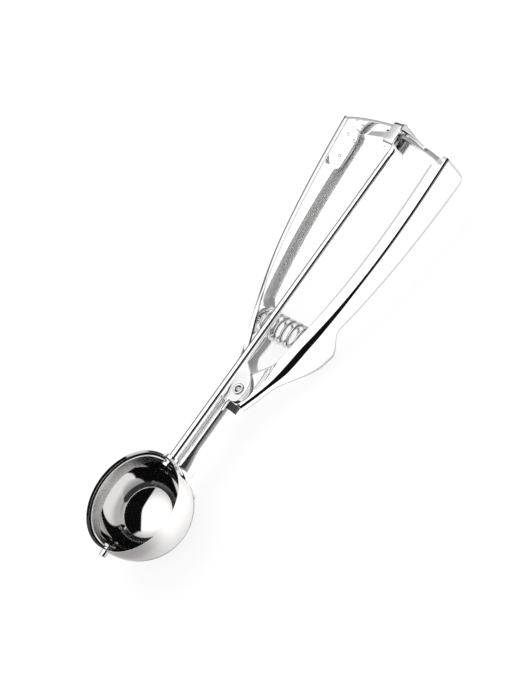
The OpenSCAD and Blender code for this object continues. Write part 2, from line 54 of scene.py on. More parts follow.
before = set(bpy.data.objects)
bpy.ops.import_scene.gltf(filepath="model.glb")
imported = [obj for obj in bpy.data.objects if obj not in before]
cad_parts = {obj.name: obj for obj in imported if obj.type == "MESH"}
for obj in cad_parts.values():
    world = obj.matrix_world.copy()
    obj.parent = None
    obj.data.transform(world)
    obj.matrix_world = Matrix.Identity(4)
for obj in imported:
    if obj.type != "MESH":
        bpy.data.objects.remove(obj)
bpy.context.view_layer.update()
BOWL_LOW, BOWL_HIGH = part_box("bowl")
SHAFT_LOW, SHAFT_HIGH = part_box("sweep_shaft")


def length(name, description, millimetres):
    """A panel size kept in metres, from its value in millimetres."""
    return FloatProperty(name=name, description=description, default=millimetres / 1000, min=0.0,
                         precision=5, unit="LENGTH")


def tint(name, description, colour):
    """A panel colour, in linear values."""
    return FloatVectorProperty(name=name, description=description, default=colour, size=3,
                               min=0.0, max=1.0, subtype="COLOR")


class ScoopSizes(PropertyGroup):
    bowl_r: length("Bowl radius", "Outer radius of the bowl", (BOWL_HIGH[0] - BOWL_LOW[0]) * 500)
    bowl_wall: length("Bowl wall", "Sheet thickness of the bowl", 0.9)
    shaft_r: length("Shaft radius", "Radius of the turning shaft",
                    (SHAFT_HIGH[0] - SHAFT_LOW[0]) * 500)
    blade_w: length("Blade width", "Width of the sweep blade", 5.4)
    blade_t: length("Blade thickness", "Thickness of the sweep blade", 0.8)
    sheet_t: length("Handle sheet", "Sheet thickness of both handles", 1.2)
    bend: length("Grip bend", "Outer bend radius along the grips", 2.3)
    hinge_bend: length("Hinge bend", "Outer bend radius above the hinge", 6.8)
    fixed_lip: length("Fixed lip", "Width of the fixed handle's near flange", 3.6)
    lever_lip: length("Lever lip", "Width of the lever's near flange", 6.5)
    far_lip: length("Far lip", "Width of both far flanges", 4.6)
    stem_w: length("Stem width", "Outside width of the stem", 12.0)
    stem_bend: length("Stem bend", "Width of the stem's upper shoulders", 2.9)
    saddle_t: length("Saddle thickness", "Thickness of the saddle plate", 1.0)
    coil_d: length("Spring diameter", "Outer diameter of the return spring", 14.2)
    wire_d: length("Spring wire", "Diameter of the spring's wire", 1.5)
    strap_t: length("Strap thickness", "Thickness of the bridge strap", 1.6)
    yoke_t: length("Yoke sheet", "Sheet thickness of the yoke's arm", 1.2)


class ScoopColours(PropertyGroup):
    bowl: tint("Bowl", "Mirror polished steel of the bowl", (0.72, 0.712, 0.706))
    sheet: tint("Sheet", "Polished steel of handles, stem and bridge", (0.96, 0.96, 0.96))
    turned: tint("Turned", "Polished steel of shaft, pins and rivet", (0.88, 0.88, 0.89))
    spring: tint("Spring", "Bright drawn wire", (0.68, 0.68, 0.69))
    gear: tint("Gear", "Machined steel of pinion and rack", (0.42, 0.42, 0.42))
    weld: tint("Weld", "Steel heated by the spot welder", (0.42, 0.41, 0.40))
    blade: tint("Blade", "Brushed steel of the sweep blade", (0.60, 0.595, 0.59))
    # Painted shade: a near-black colour for the block that stands in for the shade in the stem's
    # end.
    shade_block: tint("Plug", "Dark plug in the end of the stem", (0.014, 0.014, 0.015))
    paper: tint("Paper", "White studio paper under the tool", (1.0, 1.0, 1.0))


# Places and sizes in millimetres, the same as in the part's source.
BALL_HIGH = 25.0
HINGE_Y, GRIP_Y, LEVER_Y = 69.4, 206.2, 204.8
EAR_TOP, EAR_LOW = -8.6, -16.6
EAR_R, LEVER_EAR_R, EAR_GAP = 6.3, 5.7, 0.2
RIM_H, STEM_DROP, STEM_SIDE, STEM_END = 5.2, 3.0, 6.0, 58.6
STRAP_IN, RACK_R, RACK_T = 140.3, 136.3, 1.8
PITCH_R, TEETH, RACK_ROOT, RACK_TOP = 4.4, 10, 5.25, 8.25
YOKE_Z, LUG_Y, LUG_R, PINION_Y, PINION_LEN = 8.65, 199.36, 5.8, 201.3, 7.4
SPRING_Y, SPRING_Z, TURNS = 104.5, 14.18, 7
ROOT_X, ROOT_Y, SPREAD, NOTCH_Y = 5.5, 62.0, 30.4, 199.2
NEAR_TOP, NEAR_FALL, FAR_MID, FAR_TOP = 5.6, 0.11, -14.8, -12.6
REST_Y, REST_END, REST_Z = 105.5, 116.5, -24.8
PIN_R, PIN_OUT, PIN_IN, PIVOT_R, EYE_R, BUSH_R = 1.7, 2.7, 21.63, 2.24, 2.75, 3.0
SHAFT_Y = 21.7
RUN_FIT, TIGHT_FIT, SEATED, SQUEEZE_DEG = 0.05, 0.02, 0.05, 5.649

# Where a ribbon's edges carry painted shade, partly the dulling of sheared edges: (first row, first
# column, column after the last, strength).
EDGE_SHADE = {"edge": [(0, 0, 2, 0.6), (0, 8, 12, 0.6), (0, 18, 21, 0.6)]}


def plan():
    """Every size of the panel in millimetres."""
    group = bpy.context.scene.scoop_sizes
    return SimpleNamespace(**{k: getattr(group, k) * 1000 for k in ScoopSizes.__annotations__})


def placed(points):
    """Millimetres round the bowl's centre, moved to the row frame in metres."""
    middle = (0.0, (BOWL_LOW[1] + BOWL_HIGH[1]) * 500, BOWL_LOW[2] * 1000 + BALL_HIGH)
    return (np.asarray(points, float) + middle) / 1000


def unit(vectors):
    """Vectors along the last axis, each made one long."""
    return vectors / np.maximum(np.linalg.norm(vectors, axis=-1, keepdims=True), 1e-9)


# ---- surfaces ------------------------------------------------------------------------------


def piece(name, grids, kind, body, node, sharp=32.0, slot=None, holes=(), marks=None):
    """Grids of points, (rows, columns, 3) in millimetres, become one closed mesh: each cell is a
    quad, doubles at seams and poles merge, and normals are turned outwards. kind is its finish;
    slot is not used. holes are cylinders (x, y, z low, z high, radius) along Z that are cut
    through it. marks holds runs of the first grid (first row, first column, column after the
    last, strength): under "inside" for the unpolished walls and under "edge" for painted shade
    along bends and edges, partly the dulling of sheared edges."""
    points, faces, start = [], [], 0
    for grid in grids:
        rows, columns = grid.shape[:2]
        index = start + np.arange(rows * columns).reshape(rows, columns)
        quads = np.stack([index[:-1, :-1], index[:-1, 1:], index[1:, 1:], index[1:, :-1]], -1)
        points.append(placed(grid).reshape(-1, 3))
        faces.append(quads.reshape(-1, 4))
        start += rows * columns
    mesh = bpy.data.meshes.new(name)
    mesh.from_pydata(np.concatenate(points), [], np.concatenate(faces))
    # The "edge" runs carry painted shade along bends and edges; the "inside" runs only add
    # roughness.
    for key, runs in (marks or {}).items():
        share = [np.zeros(grid.shape[:2]) for grid in grids]
        for row, first, last, strength in runs:
            share[0][row:, first:last] = strength
        flags = np.concatenate([part.ravel() for part in share])
        mesh.attributes.new(key, "FLOAT", "POINT").data.foreach_set("value", flags)
    form = bmesh.new()
    form.from_mesh(mesh)
    bmesh.ops.remove_doubles(form, verts=form.verts, dist=2e-7)
    bmesh.ops.dissolve_degenerate(form, edges=form.edges, dist=1e-8)
    bmesh.ops.recalc_face_normals(form, faces=form.faces)
    form.to_mesh(mesh)
    form.free()
    item = bpy.data.objects.new(name, mesh)
    bpy.context.scene.collection.objects.link(item)
    for hole in holes:
        drill(item, *hole)
    mesh = item.data
    mesh.polygons.foreach_set("use_smooth", np.ones(len(mesh.polygons), bool))
    mesh.set_sharp_from_angle(angle=np.radians(sharp))
    mesh.materials.clear()
    mesh.materials.append(finish(kind))
    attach(item, body)
    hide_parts(node)
    slot = kind.replace(" ", "_") if slot is None else slot
    return item


def carve(item, form):
    """Takes a bmesh form out of the item with a Boolean, then keeps the cut mesh."""
    mesh = bpy.data.meshes.new("cutter")
    form.to_mesh(mesh)
    form.free()
    cutter = bpy.data.objects.new("cutter", mesh)
    bpy.context.scene.collection.objects.link(cutter)
    cut = item.modifiers.new("cut", "BOOLEAN")
    cut.operation, cut.solver, cut.object = "DIFFERENCE", "EXACT", cutter
    done = item.evaluated_get(bpy.context.evaluated_depsgraph_get())
    item.data = bpy.data.meshes.new_from_object(done)
    item.modifiers.clear()
    bpy.data.objects.remove(cutter)


def drill(item, x, y, low, high, radius):
    """Cuts a round hole along Z through the item."""
    form = bmesh.new()
    bmesh.ops.create_cone(form, cap_ends=True, segments=48, radius1=radius / 1000,
                          radius2=radius / 1000, depth=(high - low) / 1000,
                          matrix=Matrix.Translation(placed((x, y, (low + high) / 2))))
    carve(item, form)


def ramp(a, b, v):
    """A smooth step: 0 before a, 1 after b, with level ends."""
    t = np.clip((v - a) / (b - a), 0, 1)
    return t * t * (3 - 2 * t)


def mix(p, q, t):
    """The value a share t of the way from p to q."""
    return p + (q - p) * t


def turned(profile, axis, centre=(0, 0, 0), steps=72):
    """A profile of (radius, place along the axis) turned once round the axis."""
    r, h = np.asarray(profile, float).T[:, :, None]
    a = np.linspace(0, 2 * np.pi, steps + 1)
    c, s = r * np.cos(a), r * np.sin(a)
    h = h + 0 * c
    turn = {"x": (h, c, s), "y": (c, h, s), "z": (c, s, h)}[axis]
    return np.stack(turn, -1) + np.asarray(centre, float)


def soft(profile, radius, steps=5):
    """A profile whose inner corners are rounded: each corner becomes a short parabola between the
    points one radius before and after it, which keeps straight runs straight."""
    p = np.asarray(profile, float)
    before, after = p[:-2] - p[1:-1], p[2:] - p[1:-1]
    nb = np.linalg.norm(before, axis=1, keepdims=True)
    na = np.linalg.norm(after, axis=1, keepdims=True)
    reach = np.minimum(radius, 0.45 * np.minimum(nb, na))
    a, b = p[1:-1] + before / nb * reach, p[1:-1] + after / na * reach
    t = np.linspace(0, 1, steps)[None, :, None]
    bows = a[:, None] * (1 - t) ** 2 + 2 * p[1:-1, None] * t * (1 - t) + b[:, None] * t ** 2
    return np.concatenate([p[:1], bows.reshape(-1, p.shape[1]), p[-1:]])


def loop_section(low, high, thick, edge, steps=4):
    """A closed rounded rectangle for each station: across from low to high, thick through, with
    corner radius edge. Returns (stations, points, 2), the first point repeated at the end."""
    low, high = np.broadcast_arrays(np.asarray(low, float), np.asarray(high, float))
    edge = np.minimum(edge, np.minimum((high - low) * 0.49, thick * 0.49))[..., None]
    a = np.linspace(0, np.pi / 2, steps + 1)
    quarters = np.concatenate([a, a + np.pi / 2, a + np.pi, a + 1.5 * np.pi, a[:1]])
    right = np.cos(quarters - 1e-9) > 0
    right[:steps + 1], right[steps + 1:3 * steps + 3] = True, False
    right[3 * steps + 3:] = True
    top = np.ones(len(quarters), bool)
    top[2 * steps + 2:4 * steps + 4] = False
    u = np.where(right, high[..., None] - edge, low[..., None] + edge) + edge * np.cos(quarters)
    w = np.where(top, thick / 2 - edge, edge - thick / 2) + edge * np.sin(quarters)
    return np.stack([u, w], -1)


def ribbon(centre, side, face, low, high, thick, edge=0.25):
    """A strip carried along a path: at each station the rounded section stands across side, from
    low to high, and through face. Both ends are closed by a fan to the section's middle."""
    section = loop_section(low, high, thick, edge)
    centre, side, face = (np.broadcast_to(v, (section.shape[0], 3)) for v in (centre, side, face))
    body = centre[:, None] + side[:, None] * section[..., :1] + face[:, None] * section[..., 1:]
    first, last = body[:1].mean(1, keepdims=True), body[-1:].mean(1, keepdims=True)
    return np.concatenate([first + 0 * body[:1], body, last + 0 * body[-1:]])


def slab(outline, thick, bevel, base=0.0):
    """A plate of a star-shaped outline (points, 2): rings run from the middle of the lower face out
    over both bevelled edges to the middle of the upper face. Gives (rings, points, [u, v, w])."""
    p = np.concatenate([outline, outline[:1]])
    ahead = np.roll(outline, -1, 0) - np.roll(outline, 1, 0)
    out = unit(np.stack([ahead[:, 1], -ahead[:, 0]], -1))
    out = np.concatenate([out, out[:1]])
    middle = outline.mean(0)
    rings = [(0.0, 0.0, 0.0), (0.9, bevel * 1.2, 0.0), (1.0, bevel, 0.0),
             (1.0, bevel * 0.3, bevel * 0.3), (1.0, 0.0, bevel)]
    rings += [(s, i, thick - w) for s, i, w in reversed(rings)]
    grid = []
    for share, inset, w in rings:
        flat = middle + (p - out * inset - middle) * share
        grid.append(np.concatenate([flat, np.full((len(p), 1), base + w)], 1))
    return np.stack(grid)


def tube(path, out, radius, sides=16):
    """A round wire along a path. out points away from the coil's axis and sets the ring's turn."""
    ahead = unit(np.gradient(path, axis=0))
    out = unit(out - (out * ahead).sum(1, keepdims=True) * ahead)
    side = np.cross(ahead, out)
    a = np.linspace(0, 2 * np.pi, sides + 1)[None, :, None]
    body = path[:, None] + radius * (np.cos(a) * out[:, None] + np.sin(a) * side[:, None])
    return np.concatenate([path[:1, None] + 0 * body[:1], body, path[-1:, None] + 0 * body[-1:]])


# ---- finishes ------------------------------------------------------------------------------


class Value:
    """A socket in a shader; + - * / and ** on it add Math nodes."""

    def __init__(self, tree, socket):
        self.tree, self.socket = tree, socket

    def __add__(self, other):
        return self.tree.math_of("ADD", self, other)

    def __sub__(self, other):
        return self.tree.math_of("SUBTRACT", self, other)

    def __rsub__(self, other):
        return self.tree.math_of("SUBTRACT", other, self)

    def __mul__(self, other):
        return self.tree.math_of("MULTIPLY", self, other)

    def __truediv__(self, other):
        return self.tree.math_of("DIVIDE", self, other)

    def __rtruediv__(self, other):
        return self.tree.math_of("DIVIDE", other, self)

    def __pow__(self, other):
        return self.tree.math_of("POWER", self, other)

    __radd__, __rmul__ = __add__, __mul__


class Tree:
    """A node tree that is being written."""

    def __init__(self, tree):
        self.tree = tree
        tree.nodes.clear()

    def node(self, kind, settings=None, inputs=None):
        """Adds a node: its settings first, then each socket's value or link."""
        node = self.tree.nodes.new(kind)
        for key, value in (settings or {}).items():
            setattr(node, key, value)
        for key, value in (inputs or {}).items():
            if isinstance(value, Value):
                self.tree.links.new(value.socket, node.inputs[key])
            else:
                node.inputs[key].default_value = value
        return node

    def value(self, kind, settings=None, inputs=None, output=0):
        """Adds a node and gives one of its outputs."""
        return Value(self, self.node(kind, settings, inputs).outputs[output])

    def math_of(self, operation, first, second=0.0):
        """A Math node of that operation."""
        return self.value("ShaderNodeMath", {"operation": operation}, {0: first, 1: second})

    def ray(self, kind):
        """1 for light rays of that kind, else 0."""
        return self.value("ShaderNodeLightPath", output=kind)

    def along(self, vector, axis):
        """How far a vector reaches along an axis."""
        return self.value("ShaderNodeVectorMath", {"operation": "DOT_PRODUCT"},
                          {0: vector, 1: axis}, 1)

    def step(self, low, high, value):
        """A smooth step from 0 at low to 1 at high."""
        return self.value("ShaderNodeMapRange", {"interpolation_type": "SMOOTHSTEP"},
                          {"Value": value, "From Min": low, "From Max": high})

    def blend(self, share, first, second):
        """A colour between two colours."""
        return self.value("ShaderNodeMix", {"data_type": "RGBA"},
                          {0: share, 6: first, 7: second}, 2)

    def band(self, low, high, value):
        """A straight ramp from black at low to white at high."""
        node = self.node("ShaderNodeValToRGB", {}, {0: value})
        ends = node.color_ramp.elements
        ends[0].position, ends[0].color = low, (0, 0, 0, 1)
        ends[1].position, ends[1].color = high, (1, 1, 1, 1)
        return Value(self, node.outputs[0])

    def noise(self, place, scale, detail=3.0, rough=0.5, stretch=(1, 1, 1)):
        """Cloudy noise, stretched along an axis where its stretch is small."""
        at = self.value("ShaderNodeMapping", {}, {"Vector": place, "Scale": stretch})
        return self.value("ShaderNodeTexNoise", {}, {"Vector": at, "Scale": scale, "Detail": detail,
                                                     "Roughness": rough})


def blank(data):
    """Turns on the nodes of a new material or world and gives its emptied tree."""
    data.use_nodes = True
    return Tree(data.node_tree)


def steel(name, colour, rough, haze, grain, along=(1.0, 0.04, 1.0), depth=1.0, satin=0.0):
    """Polished steel: wiped haze in broad patches lifts the roughness, fine polishing lines run
    along the piece and give a faint bump, and small pits and rubs darken the colour a little.
    satin is the roughness that inner walls have on top; where the "edge" attribute is set the steel
    is duller and carries painted shade, a darker grey for the dark lines along bends and edges,
    partly the dulling of sheared edges."""
    material = bpy.data.materials.new(name)
    t = blank(material)
    place = t.value("ShaderNodeTexCoord", output=3)
    wiped = t.noise(place, 38.0, 4.0, 0.55)
    lines = t.noise(place, 2600.0, 2.0, 0.6, along)
    hairs = t.noise(place, 900.0, 3.0, 0.7, (along[0], along[1] * 0.5, along[2]))
    pits = t.noise(place, 1500.0, 1.0, 0.4)
    warm = (colour[0], colour[1] * 0.985, colour[2] * 0.965, 1)
    dull = (colour[0] * 0.90, colour[1] * 0.90, colour[2] * 0.905, 1)
    patch = t.band(0.35, 0.75, wiped)
    marks = t.band(0.62, 0.80, hairs)
    specks = t.band(0.72, 0.82, pits)
    base = t.blend(patch * 0.35, (*colour, 1), warm)
    base = t.blend(marks * 0.25 + specks * 0.3, base, dull)
    roughness = patch * haze + marks * (haze * 0.6) + rough
    if satin:
        inner = t.value("ShaderNodeAttribute", {"attribute_name": "inside"}, output=2)
        edge = t.value("ShaderNodeAttribute", {"attribute_name": "edge"}, output=2)
        roughness = roughness + inner * satin + edge * 0.15
        # Painted shade: the "edge" attribute blends the colour towards dark grey along marked bends
        # and edges.
        base = t.blend(edge * 0.85, base, (0.34, 0.335, 0.33, 1))
    height = lines * 0.6 + hairs * 0.4 - specks * 0.5
    bump = t.value("ShaderNodeBump", {}, {"Strength": grain, "Distance": 0.00002 * depth,
                                          "Height": height})
    shader = t.value("ShaderNodeBsdfPrincipled", {}, {
        "Base Color": base, "Metallic": 1.0, "Roughness": roughness, "Normal": bump})
    t.node("ShaderNodeOutputMaterial", {}, {"Surface": shader})
    return material


def shade_block(name, colour):
    """A near-black material for the painted shade in the stem's end: a fine even texture and
    slightly paler patches.
    """
    material = bpy.data.materials.new(name)
    t = blank(material)
    place = t.value("ShaderNodeTexCoord", output=3)
    worn = t.step(0.5, 0.8, t.noise(place, 500.0, 4.0, 0.6))
    base = t.blend(worn * 0.5, (*colour, 1), tuple(2.2 * v for v in colour) + (1,))
    bump = t.value("ShaderNodeBump", {}, {"Strength": 0.4, "Distance": 0.00003,
                                          "Height": t.noise(place, 3000.0, 2.0)})
    shader = t.value("ShaderNodeBsdfPrincipled", {}, {
        "Base Color": base, "Roughness": worn * 0.1 + 0.42, "Specular IOR Level": 0.3,
        "Normal": bump})
    t.node("ShaderNodeOutputMaterial", {}, {"Surface": shader})
    return material


def finish(kind):
    """The material of a finish, made once."""
    found = bpy.data.materials.get(kind)
    if found:
        return found
    c = bpy.context.scene.scoop_colours
    make = {
        "bowl steel": lambda n: steel(n, tuple(c.bowl), 0.03, 0.035, 0.06, (1, 1, 0.15)),
        "sheet steel": lambda n: steel(n, tuple(c.sheet), 0.05, 0.04, 0.05, satin=0.30),
        "blade steel": lambda n: steel(n, tuple(c.blade), 0.24, 0.08, 0.35, (1, 1, 0.05), 2.0),
        "turned steel": lambda n: steel(n, tuple(c.turned), 0.05, 0.04, 0.06, (0.06, 1, 0.06)),
        "spring wire": lambda n: steel(n, tuple(c.spring), 0.10, 0.08, 0.15, (1, 1, 1)),
        "gear steel": lambda n: steel(n, tuple(c.gear), 0.20, 0.14, 0.45, (1, 0.15, 1), 2.0),
        "weld steel": lambda n: steel(n, tuple(c.weld), 0.28, 0.2, 0.6, (1, 1, 1), 3.0),
        "shade_block": lambda n: shade_block(n, tuple(c.shade_block)),
    }
    return make[kind](kind)


# ---- bowl, sweep and stem ------------------------------------------------------------------


class SCOOP_OT_bowl(Operator):
    """Half-ball bowl with a straight rim band, its edge ground to a slope at the mouth"""
    bl_idname = "scoop.bowl"
    bl_label = "Bowl"

    def execute(self, context):
        """Outer wall: a quarter circle up to the equator, then straight up to the rim. The edge is
        ground to a slope on its inside, and the inner wall runs back down to the bottom. The
        profile is turned once."""
        s = plan()
        inner = s.bowl_r - s.bowl_wall
        a = np.linspace(-np.pi / 2, 0, 60)
        outer = np.stack([s.bowl_r * np.cos(a), s.bowl_r * np.sin(a)], 1)
        band = np.linspace(0.4, RIM_H - 1.6, 8)
        crest, foot = np.array((s.bowl_r - 0.12, RIM_H)), np.array((inner, RIM_H - 0.85))
        slope = mix(crest, foot, np.array([0, 0.4, 0.7, 0.75])[:, None])
        edge = np.concatenate([[(s.bowl_r, RIM_H - 1.5), (s.bowl_r, RIM_H)], slope[:-1],
                               soft([slope[-1], foot, (inner, RIM_H - 1.5)], 0.12, 4)])
        back = np.stack([inner * np.cos(a[::-1]), inner * np.sin(a[::-1])], 1)
        profile = np.concatenate([outer, np.stack([0 * band + s.bowl_r, band], 1), edge,
                                  np.stack([0 * band + inner, band[::-1]], 1), back])
        piece("bowl_shell", [turned(profile, "z", steps=160)], "bowl steel", "frame", "bowl", 25)
        return {"FINISHED"}


class SCOOP_OT_sweep_blade(Operator):
    """Curved scraper blade with its eye on the far pin and its hub on the shaft"""
    bl_idname = "scoop.sweep_blade"
    bl_label = "Sweep Blade"

    def execute(self, context):
        """The blade's middle is a half circle from the shaft round the left side to the far pin.
        Its half width falls from the eyes at both ends to an even value, its upper side grows 1 mm
        wider between them, and it bows out between its edges like the ball it lies on."""
        s = plan()
        gap = 0.35
        r = s.bowl_r - s.bowl_wall - gap - s.blade_t / 2
        a = np.linspace(0.0, np.pi, 200)
        ends = np.minimum(a, np.pi - a) * r
        half = mix(2.85, s.blade_w / 2, ramp(0.5, 3.0, ends))
        out = np.stack([-np.sin(a), np.cos(a), 0 * a], 1)
        upper = half + 1.0 * ramp(2, 9, ends)
        body = ribbon(out * r, (0, 0, 1.0), out, -half, upper, s.blade_t, 0.18)
        dish = body[..., 2] ** 2 / (2 * r)
        body[..., :2] *= (1 - dish / r)[..., None]

        def disc(first, last):
            """A round eye from one place along Y to another."""
            return turned(soft([(0, first), (EYE_R, first), (EYE_R, last), (0, last)], 0.25), "y")

        piece("blade_strip", [body], "blade steel", "sweep", "sweep_blade")
        piece("blade_eye", [disc(1.6 - r, 0.2 - r)], "blade steel", "sweep", "sweep_blade")
        piece("shaft_hub", [disc(r - 2.1, r - 0.6)], "turned steel", "sweep", "blade_hub")
        return {"FINISHED"}


class SCOOP_OT_saddle(Operator):
    """Saddle plate that hugs the ball under the stem"""
    bl_idname = "scoop.saddle"
    bl_label = "Saddle"

    def execute(self, context):
        """A rounded outline across the tool is carried onto two balls, one thickness apart: every
        ring from its middle to its edge keeps its place across and takes its Y from the ball."""
        s = plan()
        corners = np.array([(0, 2.2), (14, 2.2), (14, -10), (9.5, -18.5), (0, -18.5), (-9.5, -18.5),
                            (-14, -10), (-14, 2.2), (0, 2.2)], float)
        outline = soft(corners, 5.0, 12)[:-1]
        grid = slab(outline[::-1], s.saddle_t, 0.3)
        share = np.linspace(0, 0.9, 12)[1:-1, None, None]
        low = grid[0] + (grid[1] - grid[0]) * share
        high = grid[-1] + (grid[-2] - grid[-1]) * share[::-1]
        grid = np.concatenate([grid[:1], low, grid[1:-1], high, grid[-1:]])
        r = s.bowl_r + TIGHT_FIT + grid[..., 2]
        y = np.sqrt(np.maximum(r * r - grid[..., 0] ** 2 - grid[..., 1] ** 2, 1))
        plate = np.stack([grid[..., 0], y, grid[..., 1]], -1)
        piece("saddle_plate", [plate], "sheet steel", "frame", "saddle", 40)
        return {"FINISHED"}


class SCOOP_OT_stem(Operator):
    """Stem from the saddle to the hinge, a near-black block of painted shade in its end, and the
    tongue inside the hinge
    """
    bl_idname = "scoop.stem"
    bl_label = "Stem"

    def execute(self, context):
        """The section has a flat top, cubic shoulders that steepen down to the sides, and a
        half-round bottom, and is carried along Y. Towards the bowl the flat top narrows and the
        shoulders lean over. Each line along it starts on the ball and runs on to the dark block, a
        near-black piece of painted shade in the stem's end. The roof sheet covers that block up to
        the hinge, and the tongue ends in a half circle there."""
        s = plan()
        r, drop = s.stem_w / 2, STEM_DROP
        t = np.linspace(0, 1, 60)[:, None]
        slim = 1 - ramp(-0.05, 0.4, t)
        flat, pull = mix(r - s.stem_bend, 1.2, slim), mix(r - 0.9, 4.2, slim)
        out, v = np.linspace(0, 1, 6)[None, :-1], np.linspace(0, 1, 24)[None]
        a = np.linspace(0, np.pi / 2, 12)[None, 1:]
        low = -drop - STEM_SIDE

        def cubic(p, q, m, n):
            """A Bezier curve's coordinate from its four control values."""
            return (p * (1 - v) ** 3 + 3 * q * v * (1 - v) ** 2 + 3 * m * v * v * (1 - v)
                    + n * v ** 3)

        x = np.concatenate([flat * out, cubic(flat, pull, r, r), r * np.cos(a) + 0 * t], 1)
        z = np.concatenate([0 * out - drop + 0 * t, cubic(-drop, -drop, low + 1, low) + 0 * t,
                            low - r * np.sin(a) + 0 * t], 1)
        x, z = np.concatenate([x, -x[:, -2::-1]], 1), np.concatenate([z, z[:, -2::-1]], 1)
        ball = np.sqrt(np.maximum((s.bowl_r + 0.6) ** 2 - x ** 2 - z ** 2, 4.0))
        y = mix(20.0, STEM_END, t) + (ball - 20.0) * (1 - t) ** 2.2
        body = np.stack([x, y, z], -1)
        body = np.concatenate([0 * body[:1] + body[:1].mean(1, keepdims=True), body,
                               0 * body[:1] + (0, STEM_END, -8.0)])
        side = x.shape[1]
        # The "edge" runs paint shade as two dark lines along the stem's round bottom; the "inside"
        # run only adds roughness.
        piece("stem_body", [body], "sheet steel", "frame", "neck_stem", 40,
              marks={"inside": [(0, 0, side, 0.45)],
                     "edge": [(0, 32, 36, 0.45), (0, side - 36, side - 32, 0.45)]})
        y = np.linspace(STEM_END - 2, HINGE_Y - 6.9, 20)
        end = -3.4 - 0.3 * ramp(HINGE_Y - 8.5, HINGE_Y - 6.9, y)
        roof = ribbon(np.stack([0 * y, y, end - 0.05], 1), (1.0, 0, 0), (0, 0, 1.0),
                      -5.0 + 0 * y, 5.0 + 0 * y, 0.7, 0.3)
        piece("stem_roof", [roof], "sheet steel", "frame", "neck_stem", marks=EDGE_SHADE)
        u = np.linspace(0, 1, 40)
        ty = mix(STEM_END - 9, HINGE_Y + 5.1, u)
        reach = np.where(ty < HINGE_Y, 3.8 + 1.35 * ramp(HINGE_Y - 5, HINGE_Y, ty),
                         np.sqrt(np.maximum(0.05, 5.15 ** 2 - (ty - HINGE_Y) ** 2)))
        centre = np.stack([0 * ty, ty, 0 * ty - 12.6], 1)
        tongue = ribbon(centre, (1.0, 0, 0), (0, 0, 1.0), -reach, reach, 2.3, 0.3)
        piece("hinge_tongue", [tongue], "sheet steel", "frame", "neck_stem",
              holes=[(0, HINGE_Y, -20, -5, PIVOT_R)])
        wide, across = 5.72, np.linspace(-1, 1, 12)
        top = np.stack([wide * across, -3.82 - 0.9 * across ** 6], 1)
        a = np.linspace(0, np.pi, 24)
        belly = np.stack([wide * np.cos(a), low - 5.4 * np.sin(a)], 1)
        # Painted shade: a near-black block fills the stem's end, where there is only shade.
        block = slab(np.concatenate([top, belly]), 3.6, 0.3, STEM_END + TIGHT_FIT)
        piece("stem_shade_block", [block[..., [0, 2, 1]]], "shade_block", "frame", "neck_stem", slot="")
        return {"FINISHED"}


class SCOOP_OT_turned(Operator):
    """Shaft, bush, far pin, hinge rivet, thrust washer and retaining ring"""
    bl_idname = "scoop.turned"
    bl_label = "Turned Pieces"

    def execute(self, context):
        """Each is a profile of radius and place along its axis, corners rounded, turned once."""
        s = plan()
        r, inner = s.shaft_r, s.bowl_r - s.bowl_wall
        strap_top = HINGE_Y + STRAP_IN + s.strap_t
        top = strap_top + 0.9

        def add(name, profile, axis, body, node, centre=(0, 0, 0), radius=0.2):
            """One turned piece that stands for one node."""
            piece(name, [turned(soft(profile, radius), axis, centre)], "turned steel", body, node,
                  40)

        add("shaft_rod", [(0, SHAFT_Y), (r, SHAFT_Y), (r, 60), (r, 130), (r, top), (0, top)],
            "y", "sweep", "sweep_shaft", radius=0.45)

        def ring(bore, rim, first, last):
            """The closed profile of a ring from one place along Y to another."""
            return [(bore, first), (rim, first), (rim, last), (bore, last), (bore, first)]

        add("bush_ring", ring(r + RUN_FIT, BUSH_R, inner - 0.3, s.bowl_r + 1.6), "y", "frame",
            "neck_bush")
        end = -s.bowl_r - PIN_OUT
        add("far_pin", [(0, end), (PIN_R, end), (PIN_R, -PIN_IN), (0, -PIN_IN)], "y", "frame",
            "far_pivot_pin", radius=0.5)
        add("washer", ring(r, r + 1.7, PINION_Y - 0.72, PINION_Y - TIGHT_FIT), "y", "sweep",
            "thrust_washer")
        add("snap_ring", ring(r, r + 1, strap_top + SEATED, strap_top + 0.8), "y", "sweep",
            "retaining_ring")
        lo, hi, bore, body, head = EAR_LOW, EAR_TOP, 1.4, 2.2, 2.9
        rivet = [(bore, lo - 0.72), (head, lo - 0.6), (head, lo - TIGHT_FIT), (body, lo + 0.1),
                 (body, hi - 0.1), (head, hi + TIGHT_FIT), (2.7, hi + 0.72), (1.75, hi + 0.72),
                 (bore, hi + 0.2), (bore, lo - 0.2), (bore, lo - 0.72)]
        add("rivet_tube", rivet, "z", "frame", "hinge_rivet", (0, HINGE_Y, 0), 0.3)
        return {"FINISHED"}


# ---- handles -------------------------------------------------------------------------------


# Half width of the stem with the strap on its side, which the fixed grip's back goes round.
STEM_CLEAR = 7.22


def back_x(y):
    """Distance from the shaft to a handle's back: steep at the hinge, flat at the grips."""
    u = 1 - np.clip((y - ROOT_Y) / (GRIP_Y - ROOT_Y), 0, 1)
    return ROOT_X + SPREAD * (1 - 0.175 * u - 0.825 * u ** 2.58)


def back_lean(low, high):
    """Angle between a handle's back and the shaft, from one place along Y to another."""
    return np.arctan((back_x(high) - back_x(low)) / (high - low))


def near_z(y, ear):
    """Height of the near edge: the ear's height, then a straight slope up to the grips."""
    slope = NEAR_TOP - NEAR_FALL * (GRIP_Y - y)
    return mix(ear, slope, ramp(HINGE_Y + 2, HINGE_Y + 33, y))


